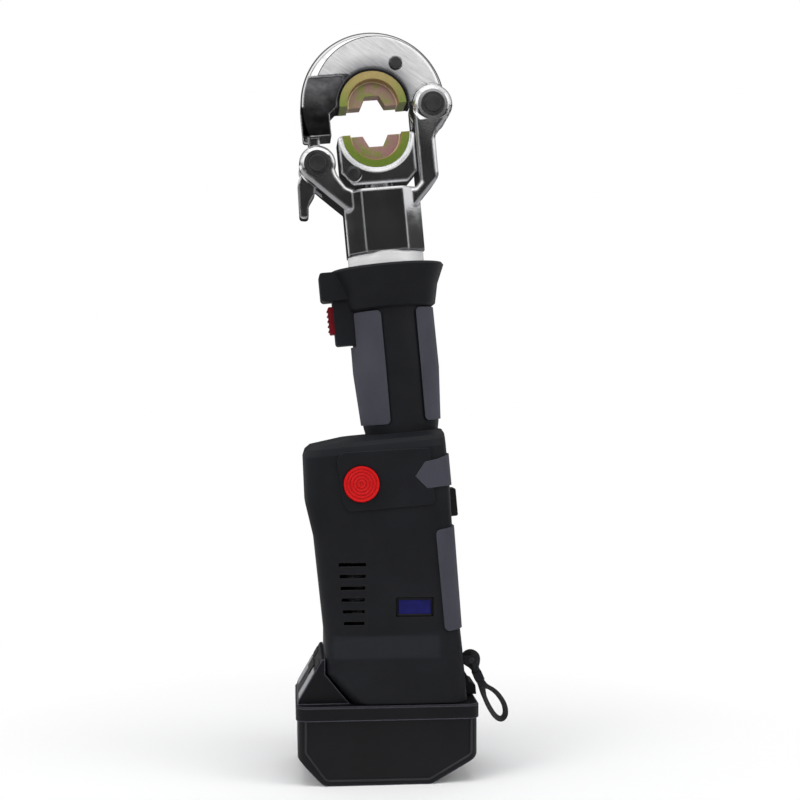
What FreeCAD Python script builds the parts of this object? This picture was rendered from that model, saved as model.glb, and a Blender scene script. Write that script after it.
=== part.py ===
import FreeCAD, Part
import math
import os

import Sketcher

# A battery-driven hydraulic cable crimping tool, in millimetres.
# The origin is the middle of the battery's flat underside, +Z up, and the
# tool's face looks along -Y. The battery stands level. Everything above it
# shares one axis, which leans towards -X, and is drawn upright in its own
# frame: u to the right, y to the back, w up the axis.

Vector = FreeCAD.Vector
Rotation = FreeCAD.Rotation
Placement = FreeCAD.Placement

SIZES = {
    # The leaning axis and the clearances that every fit uses.
    "lean_angle": 5.3,
    "axis_foot": 32.7,
    "running_gap": 0.3,
    "bore_gap": 0.05,
    # Crimping dies: two half discs with a sunk web and a half hexagon cut in it.
    "die_radius": 22.0,
    "die_half_width": 13.5,
    "die_web_radius": 16.8,
    "die_web_half_width": 6.5,
    "notch_flat": 9.2,
    "notch_mouth": 16.6,
    "notch_depth": 7.2,
    "die_face_level": 421.5,
    "die_opening": 19.0,
    # Flip-top jaw.
    "jaw_radius": 47.5,
    "jaw_half_width": 15.0,
    "jaw_edge_chamfer": 3.0,
    "leg_inner": 29.0,
    "leg_bottom_level": 422.6,
    "leg_half_width": 13.8,
    "leg_step_level": 461.0,
    "leg_step_inner": 18.0,
    "seat_rim_width": 2.0,
    "seat_rim_depth": 1.5,
    "tooth_height": 5.4,
    "tooth_reach": 7.5,
    "notch_wall": 3.0,
    "hook_slot_height": 19.0,
    # Hinge and latch pins, with the ears that carry them.
    "hinge_offset": 38.7,
    "hinge_level": 437.4,
    "latch_offset": 40.0,
    "latch_level": 404.1,
    "pin_radius": 5.8,
    "pin_stand_out": 1.9,
    "pin_chamfer": 1.0,
    "hinge_eye_radius": 13.0,
    "latch_eye_radius": 12.0,
    "ear_half_width": 18.0,
    "knuckle_half_width": 7.5,
    "knuckle_radius": 12.7,
    "hinge_slot_radius": 17.5,
    "circlip_radius": 7.8,
    "circlip_thickness": 1.0,
    "lever_hub_radius": 10.5,
    "finger_length": 33.0,
    "lever_boss_half_width": 3.4,
    # Forged yoke: arms, eight-sided neck, spigot and cylinder bore.
    "arm_outer": 38.4,
    "arm_bevel": 1.6,
    "neck_half_width": 25.2,
    "neck_half_depth": 24.0,
    "neck_flat_half": 13.5,
    "neck_bottom_level": 343.0,
    "neck_top_level": 384.5,
    "spigot_radius": 22.0,
    "spigot_bottom_level": 318.0,
    "cylinder_radius": 18.0,
    "cylinder_roof_level": 379.0,
    "plug_height": 12.0,
    # Ram, piston and return spring.
    "ram_side_gap": 0.5,
    "ram_bottom_level": 388.5,
    "ram_half_width": 15.0,
    "ram_corner": 7.0,
    "rod_radius": 9.0,
    "rod_socket_depth": 8.0,
    "piston_bottom_level": 334.0,
    "piston_height": 16.0,
    "seal_height": 4.0,
    "seal_depth": 2.6,
    "return_spring_inner": 11.5,
    "return_spring_outer": 15.4,
    # Sprung pins and detents that hold the dies.
    "die_pin_offset": 17.0,
    "die_pin_rise": 25.6,
    "die_pin_radius": 4.0,
    "die_pin_neck_radius": 2.8,
    "die_pin_length": 21.0,
    "die_pin_stand_out": 2.0,
    "die_pin_travel": 3.4,
    "die_pin_spring_length": 3.0,
    "detent_radius": 1.5,
    "detent_bite": 1.2,
    # Collar between the head and the hand guard.
    "collar_radius": 25.2,
    "collar_flange_radius": 29.0,
    "collar_flange_height": 4.0,
    # Housing: guard, barrel, hood and trigger block.
    "wall": 2.6,
    "guard_rim_level": 334.6,
    "guard_rim_radius": 37.8,
    "guard_waist_radius": 30.0,
    "guard_bottom_level": 308.0,
    "barrel_top_radius": 27.0,
    "barrel_middle_radius": 27.4,
    "barrel_low_radius": 25.2,
    "barrel_neck_radius": 24.2,
    "barrel_middle_level": 266.0,
    "barrel_low_level": 230.0,
    "barrel_neck_level": 221.0,
    "hood_outer": 45.6,
    "hood_half_width": 13.5,
    "hood_bottom_level": 315.0,
    "hood_top_level": 333.6,
    "trigger_block_outer": 38.3,
    "trigger_block_half_width": 11.0,
    "trigger_block_bottom_level": 285.2,
    # Housing: lower body, from the shoulder down to the skirt.
    "body_half_depth": 33.0,
    "skirt_half_depth": 35.5,
    "body_corner": 11.0,
    "body_left_top": 67.0,
    "body_left_bulge": 68.4,
    "body_left_waist": 64.9,
    "body_left_low": 63.9,
    "body_left_skirt": 65.1,
    "body_left_foot": 44.0,
    "body_right_top": 26.0,
    "body_right_low": 24.2,
    "shoulder_level": 225.0,
    "shoulder_rise_first": 4.5,
    "shoulder_rise_second": 7.2,
    "body_top_level": 215.0,
    "bulge_level": 186.0,
    "waist_level": 162.0,
    "facet_top_level": 97.0,
    "facet_bottom_level": 83.0,
    "skirt_knee_level": 76.0,
    "foot_level": 46.0,
    "foot_clearance": 0.5,
    "rear_foot_reach": 8.0,
    "rear_foot_half_width": 12.0,
    "panel_rise": 1.3,
    # Soft pads let into the housing.
    "pad_rise": 1.3,
    "pad_corner": 3.0,
    "grip_pad_top_level": 305.5,
    "grip_pad_bottom_level": 231.5,
    "left_pad_edge": 8.6,
    "right_pad_edge": 14.4,
    "rear_pad_edge": 13.2,
    "rear_pad_top_level": 161.0,
    "rear_pad_bottom_level": 96.0,
    # Controls on the housing.
    "trigger_face_half_width": 6.0,
    "trigger_top_level": 311.4,
    "trigger_bottom_level": 293.2,
    "trigger_stand_out": 3.3,
    "trigger_rib_height": 0.8,
    "button_offset": 31.6,
    "button_level": 195.3,
    "button_radius": 11.5,
    "button_stand_out": 2.2,
    "button_travel": 3.0,
    "button_flange": 1.5,
    "window_offset": 4.8,
    "window_level": 113.4,
    "window_length": 20.6,
    "window_height": 8.9,
    "window_border": 1.8,
    "window_sink": 1.2,
    "vent_count": 6,
    "vent_left": 51.0,
    "vent_top_level": 144.5,
    "vent_pitch": 7.5,
    "vent_height": 2.3,
    "vent_length": 17.6,
    "vent_shrink": 0.9,
    "lug_top_level": 184.6,
    "lug_bottom_level": 166.2,
    "lug_half_width": 6.0,
    "lug_reach": 31.8,
    # Motor and planetary gearbox beside the grip's axis.
    "drive_offset": 38.0,
    "motor_radius": 21.5,
    "motor_bottom_level": 90.0,
    "motor_top_level": 140.0,
    "motor_wall": 2.5,
    "motor_cap_height": 8.0,
    "rotor_radius": 15.5,
    "shaft_radius": 2.5,
    "gearbox_top_level": 168.0,
    "gear_bottom_level": 144.0,
    "gear_width": 10.0,
    "gear_module": 0.8,
    "sun_teeth": 12,
    "planet_teeth": 15,
    "ring_teeth": 42,
    "tooth_share": 0.40,
    "planet_pin_radius": 2.0,
    "carrier_radius": 15.5,
    "carrier_thickness": 4.0,
    "eccentric_throw": 2.5,
    "eccentric_radius": 9.0,
    "bearing_radius": 13.0,
    "bearing_height": 8.0,
    # Pump, feed tube and oil reservoir.
    "pump_right": 12.0,
    "pump_left": 15.5,
    "pump_half_width": 16.0,
    "pump_bottom_level": 158.0,
    "pump_top_level": 214.0,
    "valve_arm_left": 47.0,
    "valve_arm_bottom_level": 183.0,
    "plunger_radius": 5.0,
    "plunger_level": 173.0,
    "plunger_length": 18.0,
    "valve_radius": 6.0,
    "feed_tube_radius": 7.0,
    "feed_bore_radius": 2.5,
    "feed_socket_depth": 10.0,
    "feed_flange_radius": 20.0,
    "feed_flange_height": 4.5,
    "reservoir_radius": 18.0,
    "reservoir_wall": 1.5,
    "reservoir_bottom_level": 236.0,
    "reservoir_top_level": 284.0,
    # Electronics.
    "board_thickness": 1.6,
    "board_left": 16.0,
    "board_right": 17.0,
    "board_bottom_level": 82.0,
    "board_top_level": 144.0,
    "board_depth": 5.4,
    "boss_radius": 3.6,
    "screw_radius": 1.5,
    "screw_head_radius": 3.1,
    "screw_head_height": 2.2,
    "grip_screw_seat": 14.0,
    "body_screw_seat": 26.0,
    # Battery pack, level under the tool.
    "pack_left": 58.6,
    "pack_right": 58.9,
    "pack_half_depth": 38.3,
    "pack_height": 50.6,
    "pack_band_height": 9.1,
    "pack_panel_sink": 1.2,
    "pack_corner": 7.4,
    "pack_cut_round": 9.0,
    "pack_wall": 2.2,
    "pack_left_cut_low": 41.0,
    "pack_left_cut_high": 19.0,
    "pack_right_cut_low": 28.0,
    "pack_right_cut_high": 17.5,
    "ridge_right": 39.9,
    "ridge_left": 41.8,
    "ridge_height": 28.6,
    "ridge_half_width": 30.0,
    "wedge_shoulder_height": 2.4,
    "wedge_inset": 1.6,
    "wedge_back_height": 19.0,
    "wedge_back_foot": 23.8,
    "tongue_left": 30.0,
    "tongue_right": 36.0,
    "tongue_height": 9.4,
    "tongue_half_width": 20.0,
    "tongue_neck_half_width": 17.0,
    "tongue_lip_height": 4.0,
    "cell_radius": 9.1,
    "cell_length": 65.0,
    "cell_pitch": 18.3,
    "cell_low_level": 13.0,
    "cell_high_level": 31.4,
    "cell_low_shift": 1.0,
    "key_half_width": 12.0,
    "key_length": 7.0,
    "key_depth": 4.0,
    "key_stand_out": 1.2,
    "key_travel": 2.5,
    "key_along": 18.5,
    # Wrist strap.
    "strap_radius": 1.9,
    "strap_bar_radius": 1.6,
    "strap_bar_x": 55.9,
    "strap_bar_z": 75.5,
    "strap_cheek_near": -12.2,
    "strap_cheek_far": -20.2,
    "strap_cheek_thickness": 1.3,
}


class Dim:
    """A size that keeps both its value and the sheet expression it comes from."""

    def __init__(self, value, text):
        self.value = value
        self.text = text

    def __add__(self, other):
        other = as_dim(other)
        return Dim(self.value + other.value, f"({self.text} + {other.text})")

    def __sub__(self, other):
        other = as_dim(other)
        return Dim(self.value - other.value, f"({self.text} - {other.text})")

    def __mul__(self, other):
        other = as_dim(other)
        return Dim(self.value * other.value, f"({self.text} * {other.text})")

    def __truediv__(self, other):
        other = as_dim(other)
        return Dim(self.value / other.value, f"({self.text} / {other.text})")

    def __radd__(self, other):
        return as_dim(other) + self

    def __rsub__(self, other):
        return as_dim(other) - self

    def __rmul__(self, other):
        return as_dim(other) * self

    def __neg__(self):
        return Dim(-self.value, f"(0 - {self.text})")


def as_dim(number):
    """Plain numbers become sizes that no sheet cell drives."""
    if isinstance(number, Dim):
        return number
    return Dim(float(number), f"({float(number):.6f})")


class Sheet:
    """Reads a named size, as in size.die_radius."""

    def __getattr__(self, name):
        return Dim(SIZES[name], f"Sizes.{name}")


def sine(angle):
    return Dim(math.sin(math.radians(angle.value)), f"sin({angle.text})")


def cosine(angle):
    return Dim(math.cos(math.radians(angle.value)), f"cos({angle.text})")


size = Sheet()
doc = FreeCAD.newDocument("CrimpingTool")
LEAN_SINE = sine(size.lean_angle)
LEAN_COSINE = cosine(size.lean_angle)
LEAN = Rotation(Vector(0, -1, 0), size.lean_angle.value)
LEVEL = LEAN.inverted()
FRONTWARD = Rotation(Vector(1, 0, 0), 90)
RIGHTWARD = Rotation(Vector(0, 1, 0), 90)
FAR = as_dim(200)


# The sheet and the ways a size reaches a feature.

def fill_sheet():
    sheet = doc.addObject("Spreadsheet::Sheet", "Sizes")
    for row, (name, value) in enumerate(SIZES.items(), start=1):
        sheet.set(f"A{row}", name)
        sheet.set(f"B{row}", str(value))
        sheet.setAlias(f"B{row}", name)
    doc.recompute()


def bind(item, field, amount):
    item.setExpression(field, as_dim(amount).text)


def move(item, x, y, z, turn=Rotation()):
    """Places an item in the frame it is drawn in."""
    item.Placement = Placement(Vector(*(as_dim(part).value for part in (x, y, z))), turn)
    for axis, amount in zip("xyz", (x, y, z)):
        bind(item, f"Placement.Base.{axis}", amount)


def leaning(u, y, w):
    """The part's own x, y, z of a place given in the leaning frame."""
    u = as_dim(u)
    w = as_dim(w)
    x = size.axis_foot + u * LEAN_COSINE - w * LEAN_SINE
    return x, as_dim(y), u * LEAN_SINE + w * LEAN_COSINE


def stand(item, u=0, y=0, w=0, turn=Rotation()):
    """Places a finished piece in the leaning frame."""
    x, y, z = leaning(u, y, w)
    move(item, x, y, z, LEAN * turn)


# Sketches, bodies and features.

def new_body(label):
    body = doc.addObject("PartDesign::Body", label)
    body.Label = label
    return body


def new_sketch(body, plane, offset=None):
    sketch = body.newObject("Sketcher::SketchObject", "Outline")
    role = f"{plane}_Plane"
    support = [face for face in body.Origin.OriginFeatures if face.Role == role][0]
    sketch.AttachmentSupport = [(support, "")]
    sketch.MapMode = "FlatFace"
    if offset is not None:
        sketch.AttachmentOffset = Placement(Vector(0, 0, as_dim(offset).value), Rotation())
        bind(sketch, "AttachmentOffset.Base.z", offset)
    return sketch


def hold(sketch, rules):
    """Adds constraints and ties each measured one to the sheet."""
    first = sketch.ConstraintCount
    sketch.addConstraint([rule for rule, amount in rules])
    for number, (rule, amount) in enumerate(rules, start=first):
        if amount is not None:
            bind(sketch, f"Constraints[{number}]", amount)


def at_point(curve, end, x, y):
    x = as_dim(x)
    y = as_dim(y)
    return [
        (Sketcher.Constraint("DistanceX", curve, end, x.value), x),
        (Sketcher.Constraint("DistanceY", curve, end, y.value), y),
    ]


def circle(sketch, radius, x=0, y=0):
    centre = Vector(as_dim(x).value, as_dim(y).value, 0)
    radius = as_dim(radius)
    curve = sketch.addGeometry(Part.Circle(centre, Vector(0, 0, 1), radius.value), False)
    hold(sketch, at_point(curve, 3, x, y) + [(Sketcher.Constraint("Radius", curve, radius.value), radius)])


def rounded_corner(before, corner, after, radius):
    """Where the arc of a rounded corner starts and ends, its centre and its sense."""
    back = (before - corner).normalize()
    ahead = (after - corner).normalize()
    half = back.getAngle(ahead) / 2
    reach = radius / math.tan(half)
    centre = corner + (back + ahead).normalize() * (radius / math.sin(half))
    turns_left = back.cross(ahead).z < 0
    return corner + back * reach, corner + ahead * reach, centre, turns_left


def outline(sketch, corners):
    """A closed outline. A corner is (x, y), or (x, y, radius) where it is rounded."""
    count = len(corners)
    places = [Vector(as_dim(corner[0]).value, as_dim(corner[1]).value, 0) for corner in corners]
    starts = list(places)
    ends = list(places)
    arcs = {}
    for number, corner in enumerate(corners):
        if len(corner) == 3:
            before = places[number - 1]
            after = places[(number + 1) % count]
            radius = as_dim(corner[2]).value
            start, end, centre, turns_left = rounded_corner(before, places[number], after, radius)
            starts[number] = start
            ends[number] = end
            arcs[number] = (centre, radius, turns_left)
    first = sketch.GeometryCount
    lines = [
        Part.LineSegment(ends[number], starts[(number + 1) % count])
        for number in range(count)
    ]
    sketch.addGeometry(lines, False)
    rules = []
    for number, corner in enumerate(corners):
        incoming = first + (number - 1) % count
        outgoing = first + number
        if number not in arcs:
            rules.append((Sketcher.Constraint("Coincident", incoming, 2, outgoing, 1), None))
            rules += at_point(outgoing, 1, corner[0], corner[1])
            continue
        centre, radius, turns_left = arcs[number]
        from_start = math.atan2(starts[number].y - centre.y, starts[number].x - centre.x)
        from_end = math.atan2(ends[number].y - centre.y, ends[number].x - centre.x)
        low, high = (from_start, from_end) if turns_left else (from_end, from_start)
        enter, leave = (1, 2) if turns_left else (2, 1)
        if high < low:
            high += 2 * math.pi
        curve = Part.ArcOfCircle(Part.Circle(centre, Vector(0, 0, 1), radius), low, high)
        arc = sketch.addGeometry(curve, False)
        mark = sketch.addGeometry(Part.Point(places[number]), True)
        rules.append((Sketcher.Constraint("Tangent", incoming, 2, arc, enter), None))
        rules.append((Sketcher.Constraint("Tangent", arc, leave, outgoing, 1), None))
        rules.append((Sketcher.Constraint("PointOnObject", mark, 1, incoming), None))
        rules.append((Sketcher.Constraint("PointOnObject", mark, 1, outgoing), None))
        rules.append((Sketcher.Constraint("Radius", arc, radius), corner[2]))
        rules += at_point(mark, 1, corner[0], corner[1])
    hold(sketch, rules)


def pad(body, sketch, length, both_ways=False, backwards=False):
    feature = body.newObject("PartDesign::Pad", "Pad")
    feature.Profile = sketch
    feature.Midplane = both_ways
    feature.Reversed = backwards
    bind(feature, "Length", length)
    return feature


def pocket(body, sketch, length, both_ways=False, backwards=False):
    feature = body.newObject("PartDesign::Pocket", "Pocket")
    feature.Profile = sketch
    feature.Midplane = both_ways
    feature.Reversed = backwards
    bind(feature, "Length", length)
    return feature


def turn_profile(body, corners, cut=False):
    """A revolve about the body's own upright axis; corners are (radius, height)."""
    sketch = new_sketch(body, "XZ")
    outline(sketch, corners)
    feature = body.newObject("PartDesign::Groove" if cut else "PartDesign::Revolution", "Turned")
    feature.Profile = sketch
    feature.ReferenceAxis = (sketch, ["V_Axis"])
    feature.Angle = 360
    return feature


def dress(body, kind, chosen, amount):
    """Rounds or bevels the edges of the last feature that the test picks."""
    doc.recompute()
    base = body.Tip
    names = [f"Edge{number}" for number, edge in enumerate(base.Shape.Edges, start=1) if chosen(edge)]
    feature = body.newObject(f"PartDesign::{kind}", kind)
    feature.Base = (base, names)
    bind(feature, "Radius" if kind == "Fillet" else "Size", amount)
    return feature


def on_plane(edge, axis, level):
    box = edge.BoundBox
    low = getattr(box, f"{axis}Min")
    high = getattr(box, f"{axis}Max")
    return abs(low - level) < 1e-4 and abs(high - level) < 1e-4


def plate(label, corners, depth, plane="XZ"):
    """A flat piece padded to both sides of its sketch."""
    body = new_body(label)
    sketch = new_sketch(body, plane)
    outline(sketch, corners)
    pad(body, sketch, depth, both_ways=True)
    return body


def turned(label, corners):
    body = new_body(label)
    turn_profile(body, corners)
    return body


def tube(inner, outer, bottom, top):
    return [(inner, bottom), (outer, bottom), (outer, top), (inner, top)]


def rod(radius, bottom, top):
    return [(0, bottom), (radius, bottom), (radius, top), (0, top)]


# Solid primitives and booleans.

def box(x_low, x_high, y_low, y_high, z_low, z_high):
    item = doc.addObject("Part::Box", "Block")
    bind(item, "Length", as_dim(x_high) - x_low)
    bind(item, "Width", as_dim(y_high) - y_low)
    bind(item, "Height", as_dim(z_high) - z_low)
    move(item, x_low, y_low, z_low)
    return item


def cylinder(radius, height, x, y, z, turn=Rotation()):
    item = doc.addObject("Part::Cylinder", "Round")
    bind(item, "Radius", radius)
    bind(item, "Height", height)
    move(item, x, y, z, turn)
    return item


def cut(label, base, *tools):
    tool = tools[0]
    if len(tools) > 1:
        tool = fuse("Tools", *tools)
    item = doc.addObject("Part::Cut", label)
    item.Label = label
    item.Base = base
    item.Tool = tool
    return item


def fuse(label, *pieces):
    item = doc.addObject("Part::MultiFuse", label)
    item.Label = label
    item.Shapes = list(pieces)
    return item


def common(label, first, second):
    item = doc.addObject("Part::Common", label)
    item.Label = label
    item.Base = first
    item.Tool = second
    return item


def together(label, pieces):
    """Separate solids that share one node."""
    item = doc.addObject("Part::Compound", label)
    item.Label = label
    item.Links = list(pieces)
    return item


# Places that several pieces share.

LOWER_FACE = size.die_face_level
UPPER_FACE = size.die_face_level + size.die_opening
ARM_INNER = size.hinge_offset - size.hinge_eye_radius
SLOT_HALF = size.knuckle_half_width + size.running_gap
SEAT_RADIUS = size.die_radius + size.bore_gap
TOOTH_TOP = size.leg_bottom_level + size.tooth_height
GUARD_ROOF = size.guard_rim_level - size.wall
SKIRT_LEVEL = size.pack_height + size.foot_clearance
INNER_FRONT = size.body_half_depth - size.wall
SPLIT_LEVEL = size.pack_height - size.pack_band_height
TONGUE_TOP = size.pack_height + size.tongue_height
TONGUE_LIP = size.pack_height + size.tongue_lip_height
RIDGE_LEVEL = size.pack_height + size.ridge_height
SHOULDER_LEVEL = size.pack_height + size.wedge_shoulder_height


def pocket_both_faces(body, draw, half_width, depth):
    """The same recess in the front and the back face of a plate."""
    for side in (1, -1):
        sketch = new_sketch(body, "XZ", half_width * side)
        draw(sketch)
        pocket(body, sketch, depth, backwards=side < 0)


def through_hole(body, radius, u, w, half_width):
    sketch = new_sketch(body, "XZ")
    circle(sketch, radius, u, w)
    pocket(body, sketch, half_width * 2 + 2, both_ways=True)


def front_hole(body, radius, u, w, face_half_width, depth):
    sketch = new_sketch(body, "XZ", face_half_width)
    circle(sketch, radius, u, w)
    pocket(body, sketch, depth)


def pad_circle(body, radius, u, w, half_width):
    sketch = new_sketch(body, "XZ")
    circle(sketch, radius, u, w)
    pad(body, sketch, half_width * 2, both_ways=True)


def pad_outline(body, corners, half_width):
    sketch = new_sketch(body, "XZ")
    outline(sketch, corners)
    pad(body, sketch, half_width * 2, both_ways=True)


def pocket_outline(body, corners, half_width):
    sketch = new_sketch(body, "XZ")
    outline(sketch, corners)
    pocket(body, sketch, half_width * 2, both_ways=True)


# Yoke: one forging with the arms, the ears and the cylinder.

def yoke_arm(corners):
    """One arm of the yoke, with the edges of its two faces bevelled."""
    half = size.ear_half_width
    body = plate("YokeArm", corners, half * 2)
    rims = (half.value, -half.value)
    dress(body, "Chamfer", lambda edge: any(on_plane(edge, "Y", rim) for rim in rims), size.arm_bevel)
    return body


def yoke_eye(radius, place):
    """The round eye at an arm's end, turned with the same bevelled edges."""
    half = size.ear_half_width
    edge = size.arm_bevel
    eye = turned("YokeEye", [
        (0, -half), (radius - edge, -half), (radius, edge - half), (radius, half - edge),
        (radius - edge, half), (0, half),
    ])
    move(eye, place[0], 0, place[1], FRONTWARD)
    return eye


def head_yoke():
    hinge = (size.hinge_offset, size.hinge_level)
    latch = (-size.latch_offset, size.latch_level)
    foot = size.neck_top_level - 13
    right_arm = yoke_arm([
        (ARM_INNER, hinge[1] - 2),
        (ARM_INNER, size.neck_top_level + 3),
        (ARM_INNER - 3.5, size.neck_top_level - 0.5),
        (12, size.neck_top_level - 0.5),
        (12, foot),
        (size.neck_half_width - 4, foot),
        (size.arm_outer, size.ram_bottom_level + 1, 7),
        (size.arm_outer, size.hinge_level - 20, 8),
        (hinge[0] + size.hinge_eye_radius * 0.72, hinge[1] - size.hinge_eye_radius * 0.629),
        (hinge[0] + 1, hinge[1] - 2),
    ])
    left_arm = yoke_arm([
        (latch[0] - 1, latch[1] + 1),
        (latch[0] + size.latch_eye_radius * 0.7, latch[1] + size.latch_eye_radius * 0.656),
        (latch[0] + size.latch_eye_radius, latch[1] - 8, 8),
        (-size.neck_half_width + 2.7, size.ram_bottom_level - 0.5),
        (-15, size.neck_top_level - 0.5),
        (-15, foot),
        (-size.neck_half_width + 2, foot),
        (latch[0] + 0.5, latch[1] - 17, 10),
        (latch[0] - size.latch_eye_radius * 0.78, latch[1] - size.latch_eye_radius * 0.559),
    ])
    eyes = [yoke_eye(size.hinge_eye_radius, hinge), yoke_eye(size.latch_eye_radius, latch)]
    forging = fuse("YokeForging", right_arm, left_arm, *eyes, yoke_neck())
    latch_slot = plate("LatchSlot", [
        (latch[0] - 25, latch[1] - 24),
        (latch[0] + 2, latch[1] - 18),
        (latch[0] + 9.5, latch[1] - 11),
        (latch[0] + 14, latch[1] - 2),
        (latch[0] + 14, latch[1] + 16),
        (latch[0] - 25, latch[1] + 16),
    ], SLOT_HALF * 2)
    hinge_slot = cylinder(size.hinge_slot_radius, SLOT_HALF * 2, hinge[0], SLOT_HALF, hinge[1], FRONTWARD)
    half = size.ear_half_width
    bores = [cylinder(size.pin_radius + size.bore_gap, half * 2 + 2, place[0], half + 1, place[1], FRONTWARD)
             for place in (hinge, latch)]
    stand(cut("head_yoke", forging, latch_slot, hinge_slot, cylinder_bore(), *bores))


def yoke_neck():
    """The eight-sided neck with the spigot that goes down into the handle."""
    body = new_body("YokeNeck")
    sketch = new_sketch(body, "XY", size.neck_bottom_level)
    wide = size.neck_half_width
    deep = size.neck_half_depth
    flat = size.neck_flat_half
    outline(sketch, [
        (-flat, -deep), (flat, -deep), (wide, -flat + 1), (wide, flat - 1),
        (flat, deep), (-flat, deep), (-wide, flat - 1), (-wide, -flat + 1),
    ])
    pad(body, sketch, size.neck_top_level - size.neck_bottom_level)
    turn_profile(body, rod(size.spigot_radius, size.spigot_bottom_level, size.neck_bottom_level + 1))
    return body


def cylinder_bore():
    """The space for the piston, its spring and its rod."""
    rod_bore = size.rod_radius + size.bore_gap
    return turned("CylinderBore", [
        (0, size.spigot_bottom_level - 1),
        (size.cylinder_radius, size.spigot_bottom_level - 1),
        (size.cylinder_radius, size.cylinder_roof_level),
        (rod_bore, size.cylinder_roof_level),
        (rod_bore, size.neck_top_level + 1),
        (0, size.neck_top_level + 1),
    ])


def die_pin_room():
    """How deep a push pin's bore goes, for the pin, its travel and its spring."""
    inside = size.die_pin_length - size.die_pin_stand_out
    return inside + size.die_pin_travel + size.die_pin_spring_length


def joint_pin(label, u, w):
    """A bevelled pin with a groove for a circlip at each end, lying front to back."""
    end = size.ear_half_width + size.pin_stand_out
    groove_low = size.ear_half_width + size.bore_gap
    groove_high = groove_low + size.circlip_thickness + size.bore_gap
    core = size.pin_radius - 0.6
    full = size.pin_radius
    tip = full - size.pin_chamfer * 0.5
    upper = [
        (full, groove_low), (core, groove_low), (core, groove_high), (tip + 0.2, groove_high),
        (tip, end), (0, end),
    ]
    lower = [(radius, -height) for radius, height in reversed(upper)]
    stand(turned(label, lower + upper), u, 0, w, FRONTWARD)


def circlips():
    rings = []
    low = size.ear_half_width + size.bore_gap
    for u, w in ((size.hinge_offset, size.hinge_level), (-size.latch_offset, size.latch_level)):
        for start in (-low, low + size.circlip_thickness):
            ring = cylinder(size.circlip_radius, size.circlip_thickness, u, start, w, FRONTWARD)
            bore = cylinder(size.pin_radius - 0.55, size.circlip_thickness, u, start, w, FRONTWARD)
            rings.append(cut("Circlip", ring, bore))
    stand(together("pin_circlips", rings))


def latch_lever():
    body = new_body("latch_lever")
    u = -size.latch_offset
    w = size.latch_level
    half = size.knuckle_half_width
    shank_right = -size.leg_inner - size.tooth_reach - 0.5
    shank_left = shank_right - 7.5
    nose_tip = -size.leg_inner - size.notch_wall - 0.7
    nose_low = TOOTH_TOP + size.running_gap
    pad_outline(body, [
        (shank_left, w),
        (shank_right, w),
        (shank_right, nose_low),
        (nose_tip, nose_low),
        (nose_tip, nose_low + 5.5, 2),
        (shank_right + 1, nose_low + 9, 1.5),
        (shank_left, nose_low + 9, 2.5),
    ], half)
    pad_outline(body, [
        (u - 6, w - 7),
        (u - 10.3, w - 1.5),
        (u - 13.8, w - 10, 6),
        (u - 14.6, w - size.finger_length, 2.2),
        (u - 8.6, w - size.finger_length - 0.8, 2.2),
        (u - 7.8, w - 24.5, 7),
        (u - 3.4, w - 18.2, 3),
        (u - 1.0, w - 10),
    ], half)
    pad_circle(body, size.lever_hub_radius, u, w, half)
    sketch = new_sketch(body, "XZ", -half)
    circle(sketch, size.lever_hub_radius - 1.8, u, w)
    pocket(body, sketch, half - size.lever_boss_half_width, backwards=True)
    through_hole(body, size.pin_radius + size.bore_gap, u, w, half)
    stand(body)


def latch_spring():
    """Torsion spring round the latch pin, drawn as its sleeve of closed coils."""
    thick = size.knuckle_half_width - size.lever_boss_half_width - size.running_gap * 2
    body = turned("latch_spring", tube(size.pin_radius + 0.3, size.lever_hub_radius - 2.3, 0, thick))
    stand(body, -size.latch_offset, size.knuckle_half_width - size.running_gap, size.latch_level, FRONTWARD)


# Upper jaw with its die.

def die_hole(radius, inner, outer, y=0):
    """A round hole or plug that points from the die's middle towards its locking pin."""
    across = size.die_pin_offset.value
    down = size.die_pin_rise.value
    reach = math.hypot(across, down)
    turn = Rotation(Vector(0, 0, 1), Vector(-across, 0, -down))
    inner = as_dim(inner)
    share_u = Dim(-across / reach, f"(0 - {size.die_pin_offset.text} / {PIN_DISTANCE.text})")
    share_w = Dim(-down / reach, f"(0 - {size.die_pin_rise.text} / {PIN_DISTANCE.text})")
    return cylinder(radius, outer - inner, inner * share_u, y, inner * share_w, turn)


PIN_DISTANCE = Dim(
    math.hypot(size.die_pin_offset.value, size.die_pin_rise.value),
    "sqrt(Sizes.die_pin_offset ^ 2 + Sizes.die_pin_rise ^ 2)",
)
HALF_TURN = Rotation(Vector(0, 1, 0), 180)
DETENT_INNER = size.die_radius - size.detent_bite
DETENT_OUTER = PIN_DISTANCE - size.die_pin_radius - 0.1


def detent_bore(upper):
    """The cutter for the detent's hole in the jaw or in the ram."""
    face = UPPER_FACE if upper else LOWER_FACE
    tool = die_hole(size.detent_radius + size.bore_gap, size.die_radius - 1, PIN_DISTANCE)
    holder = together("DetentBore", [tool])
    move(holder, 0, 0, face, HALF_TURN if upper else Rotation())
    return holder


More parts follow.
